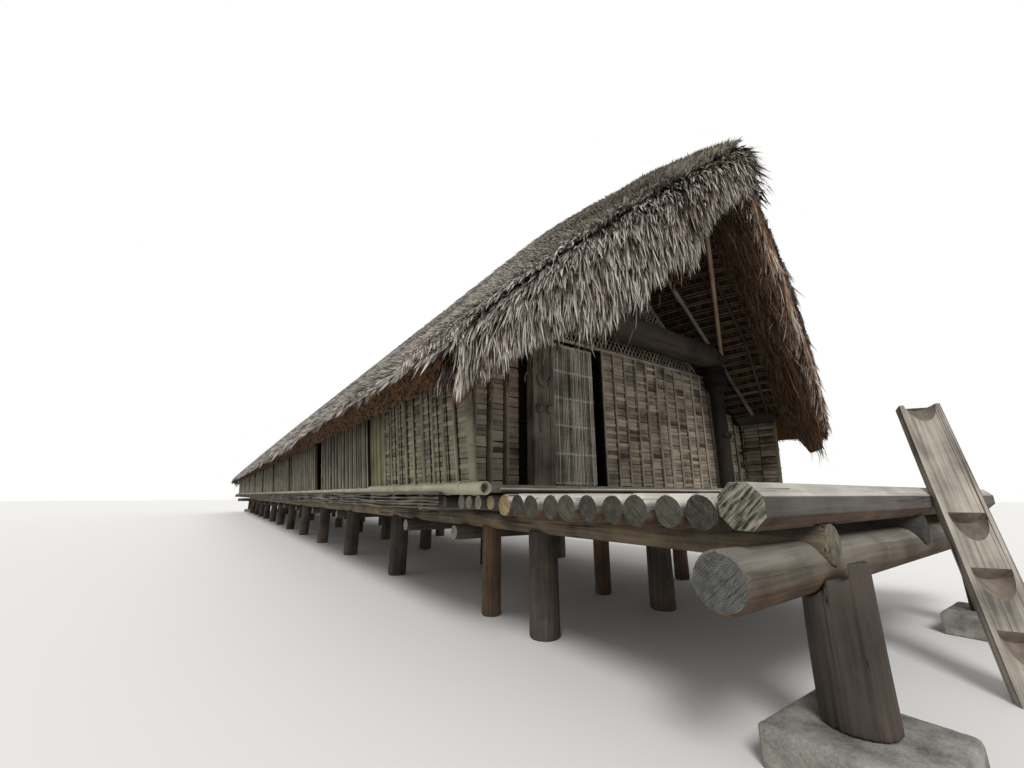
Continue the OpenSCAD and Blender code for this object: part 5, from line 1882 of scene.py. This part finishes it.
class LONGHOUSE_OT_doors(bpy.types.Operator):
    """Weave the sliding door screen in front and the fixed one at the rear"""

    bl_idname = "longhouse.doors"
    bl_label = "Door screens"

    def execute(self, context):
        for node, body, end in (("front_door", DOOR, -1), ("rear_door", HOUSE, 1)):
            low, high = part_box(node)
            if end > 0:
                low, high = Vector((-high.x, -high.y, low.z)), Vector((-low.x, -low.y, high.z))
            parts = Parts()
            self.rods(parts, end, low, high)
            self.weaves(parts, end, low, high)
            piece = parts.build(node + "_screen", ["rod"])
            settle(piece, body, (node,))
        return {"FINISHED"}

    def rods(self, parts, end, low, high):
        """Thin upright rods side by side."""
        rng = np.random.default_rng(5)
        y = (low.y + high.y) / 2
        for i in range(RODS):
            x = low.x + 0.004 + (high.x - low.x - 0.008) * i / (RODS - 1)
            lean = rng.normal(0, 0.0012)
            foot = placed((x, y, low.z + rng.uniform(0, 0.01)), end)
            head = placed((x + lean, y, high.z - rng.uniform(0, 0.012)), end)
            r, tone = rng.uniform(0.0033, 0.0045), rng.uniform(0.1, 1.0)
            culm(parts, foot, head, r, 400 + i, 0.22, 6, tone, False)

    def weaves(self, parts, end, low, high):
        """Rows of paired splits that weave the rods together."""
        x = np.linspace(low.x, high.x, RODS * 2)
        ripple = np.sin(np.arange(len(x)) * math.pi / 2)
        for k in range(WEAVES):
            z = low.z + 0.018 + k * (high.z - low.z - 0.036) / (WEAVES - 1)
            for sign in (-1, 1):
                y = (low.y + high.y) / 2 + sign * 0.005 * ripple
                lift = sign * 0.0035 + 0.002 * lattice_noise(xyz(x * 25, float(k), 0.0), sign + 3)
                co = placed(xyz(x, y, z + lift)[:, None] + WEAVE, end)
                parts.add(co, net(len(x), len(WEAVE)), tone=0.85)


# Studio

# Camera of the photograph, from its vanishing points
LENS, SENSOR = 14.73, 36
CAMERA_PLACE = (-2.47, -11.13, 0.70)
CAMERA_TURN = (104.8, 0, -34.9)
LAMP_TURN, LAMP_SPREAD = (46, -14, -28), 18
FLOOR_REACH = 60


class LONGHOUSE_OT_studio(bpy.types.Operator):
    """Place the floor, the soft lamps and the camera"""

    bl_idname = "longhouse.studio"
    bl_label = "Studio"

    def execute(self, context):
        settings = context.scene.longhouse_studio
        scene = context.scene
        self.floor(scene, settings)
        self.sky(scene, settings)
        lamp = bpy.data.lights.new("key_lamp", "SUN")
        lamp.energy = settings.sun
        lamp.angle = math.radians(LAMP_SPREAD)
        self.put(scene, "key_lamp", lamp, LAMP_TURN)
        lens = bpy.data.cameras.new("photo_camera")
        lens.sensor_width = SENSOR
        lens.lens = LENS
        lens.clip_start = 0.01
        scene.camera = self.put(scene, "photo_camera", lens, CAMERA_TURN)
        scene.camera.location = CAMERA_PLACE
        scene.view_settings.view_transform = "Standard"
        return {"FINISHED"}

    def put(self, scene, name, data, turn=(0, 0, 0)):
        """Puts a lamp, a camera or a mesh into the scene, turned by degrees."""
        thing = bpy.data.objects.new(name, data)
        thing.rotation_euler = [math.radians(degrees) for degrees in turn]
        scene.collection.objects.link(thing)
        return thing

    def floor(self, scene, settings):
        """The plain floor that the house stands on."""
        mesh = bpy.data.meshes.new("studio_floor")
        r = FLOOR_REACH
        mesh.from_pydata([(-r, -r, 0), (r, -r, 0), (r, r, 0), (-r, r, 0)], [], [(0, 1, 2, 3)])
        mesh.materials.append(Surface("Studio floor", 0.9, 0.2).paint(tuple(settings.floor)))
        self.put(scene, "studio_floor", mesh)

    def sky(self, scene, settings):
        """Even light from all round, that the camera sees as white."""
        world = bpy.data.worlds.new("Studio world")
        world.use_nodes = True
        scene.world = world
        n = Nodes(world.node_tree)
        path = n.new("ShaderNodeLightPath").outputs
        mirrored = n.math("MAXIMUM", path["Is Glossy Ray"], path["Is Transmission Ray"])
        seen = n.math("MAXIMUM", path["Is Camera Ray"], mirrored)
        back = world.node_tree.nodes["Background"].inputs
        back["Color"].default_value = (1, 1, 1, 1)
        n.feed(back["Strength"], n.plus(settings.sky, n.times(seen, 1.0 - settings.sky)))


class LONGHOUSE_PT_panel(bpy.types.Panel):
    """Lists the pieces of the longhouse"""

    bl_label = "Longhouse"
    bl_idname = "LONGHOUSE_PT_panel"
    bl_space_type = "VIEW_3D"
    bl_region_type = "UI"
    bl_category = "Longhouse"

    def draw(self, context):
        for operator in OPERATORS:
            self.layout.operator(operator.bl_idname)


OPERATORS = (
    LONGHOUSE_OT_thatch,
    LONGHOUSE_OT_ridge,
    LONGHOUSE_OT_fringe,
    LONGHOUSE_OT_eaves,
    LONGHOUSE_OT_battens,
    LONGHOUSE_OT_decks,
    LONGHOUSE_OT_timbers,
    LONGHOUSE_OT_carving,
    LONGHOUSE_OT_rafters,
    LONGHOUSE_OT_side_mats,
    LONGHOUSE_OT_gable_mats,
    LONGHOUSE_OT_lattices,
    LONGHOUSE_OT_sills,
    LONGHOUSE_OT_poles,
    LONGHOUSE_OT_doors,
    LONGHOUSE_OT_studio,
)
SETTINGS = {
    "longhouse_thatch": ThatchSettings,
    "longhouse_timber": TimberSettings,
    "longhouse_mat": MatSettings,
    "longhouse_studio": StudioSettings,
}
CLASSES = (*SETTINGS.values(), *OPERATORS, LONGHOUSE_PT_panel)


def register():
    """Adds the classes, and the settings of the scene."""
    for cls in CLASSES:
        bpy.utils.register_class(cls)
    for name, settings in SETTINGS.items():
        setattr(bpy.types.Scene, name, PointerProperty(type=settings))


def unregister():
    """Takes the settings and the classes out again."""
    for name in SETTINGS:
        delattr(bpy.types.Scene, name)
    for cls in reversed(CLASSES):
        bpy.utils.unregister_class(cls)


def main():
    """Builds all pieces in order."""
    register()
    for operator in OPERATORS:
        group, name = operator.bl_idname.split(".")
        getattr(getattr(bpy.ops, group), name)()


if __name__ == "__main__":
    main()
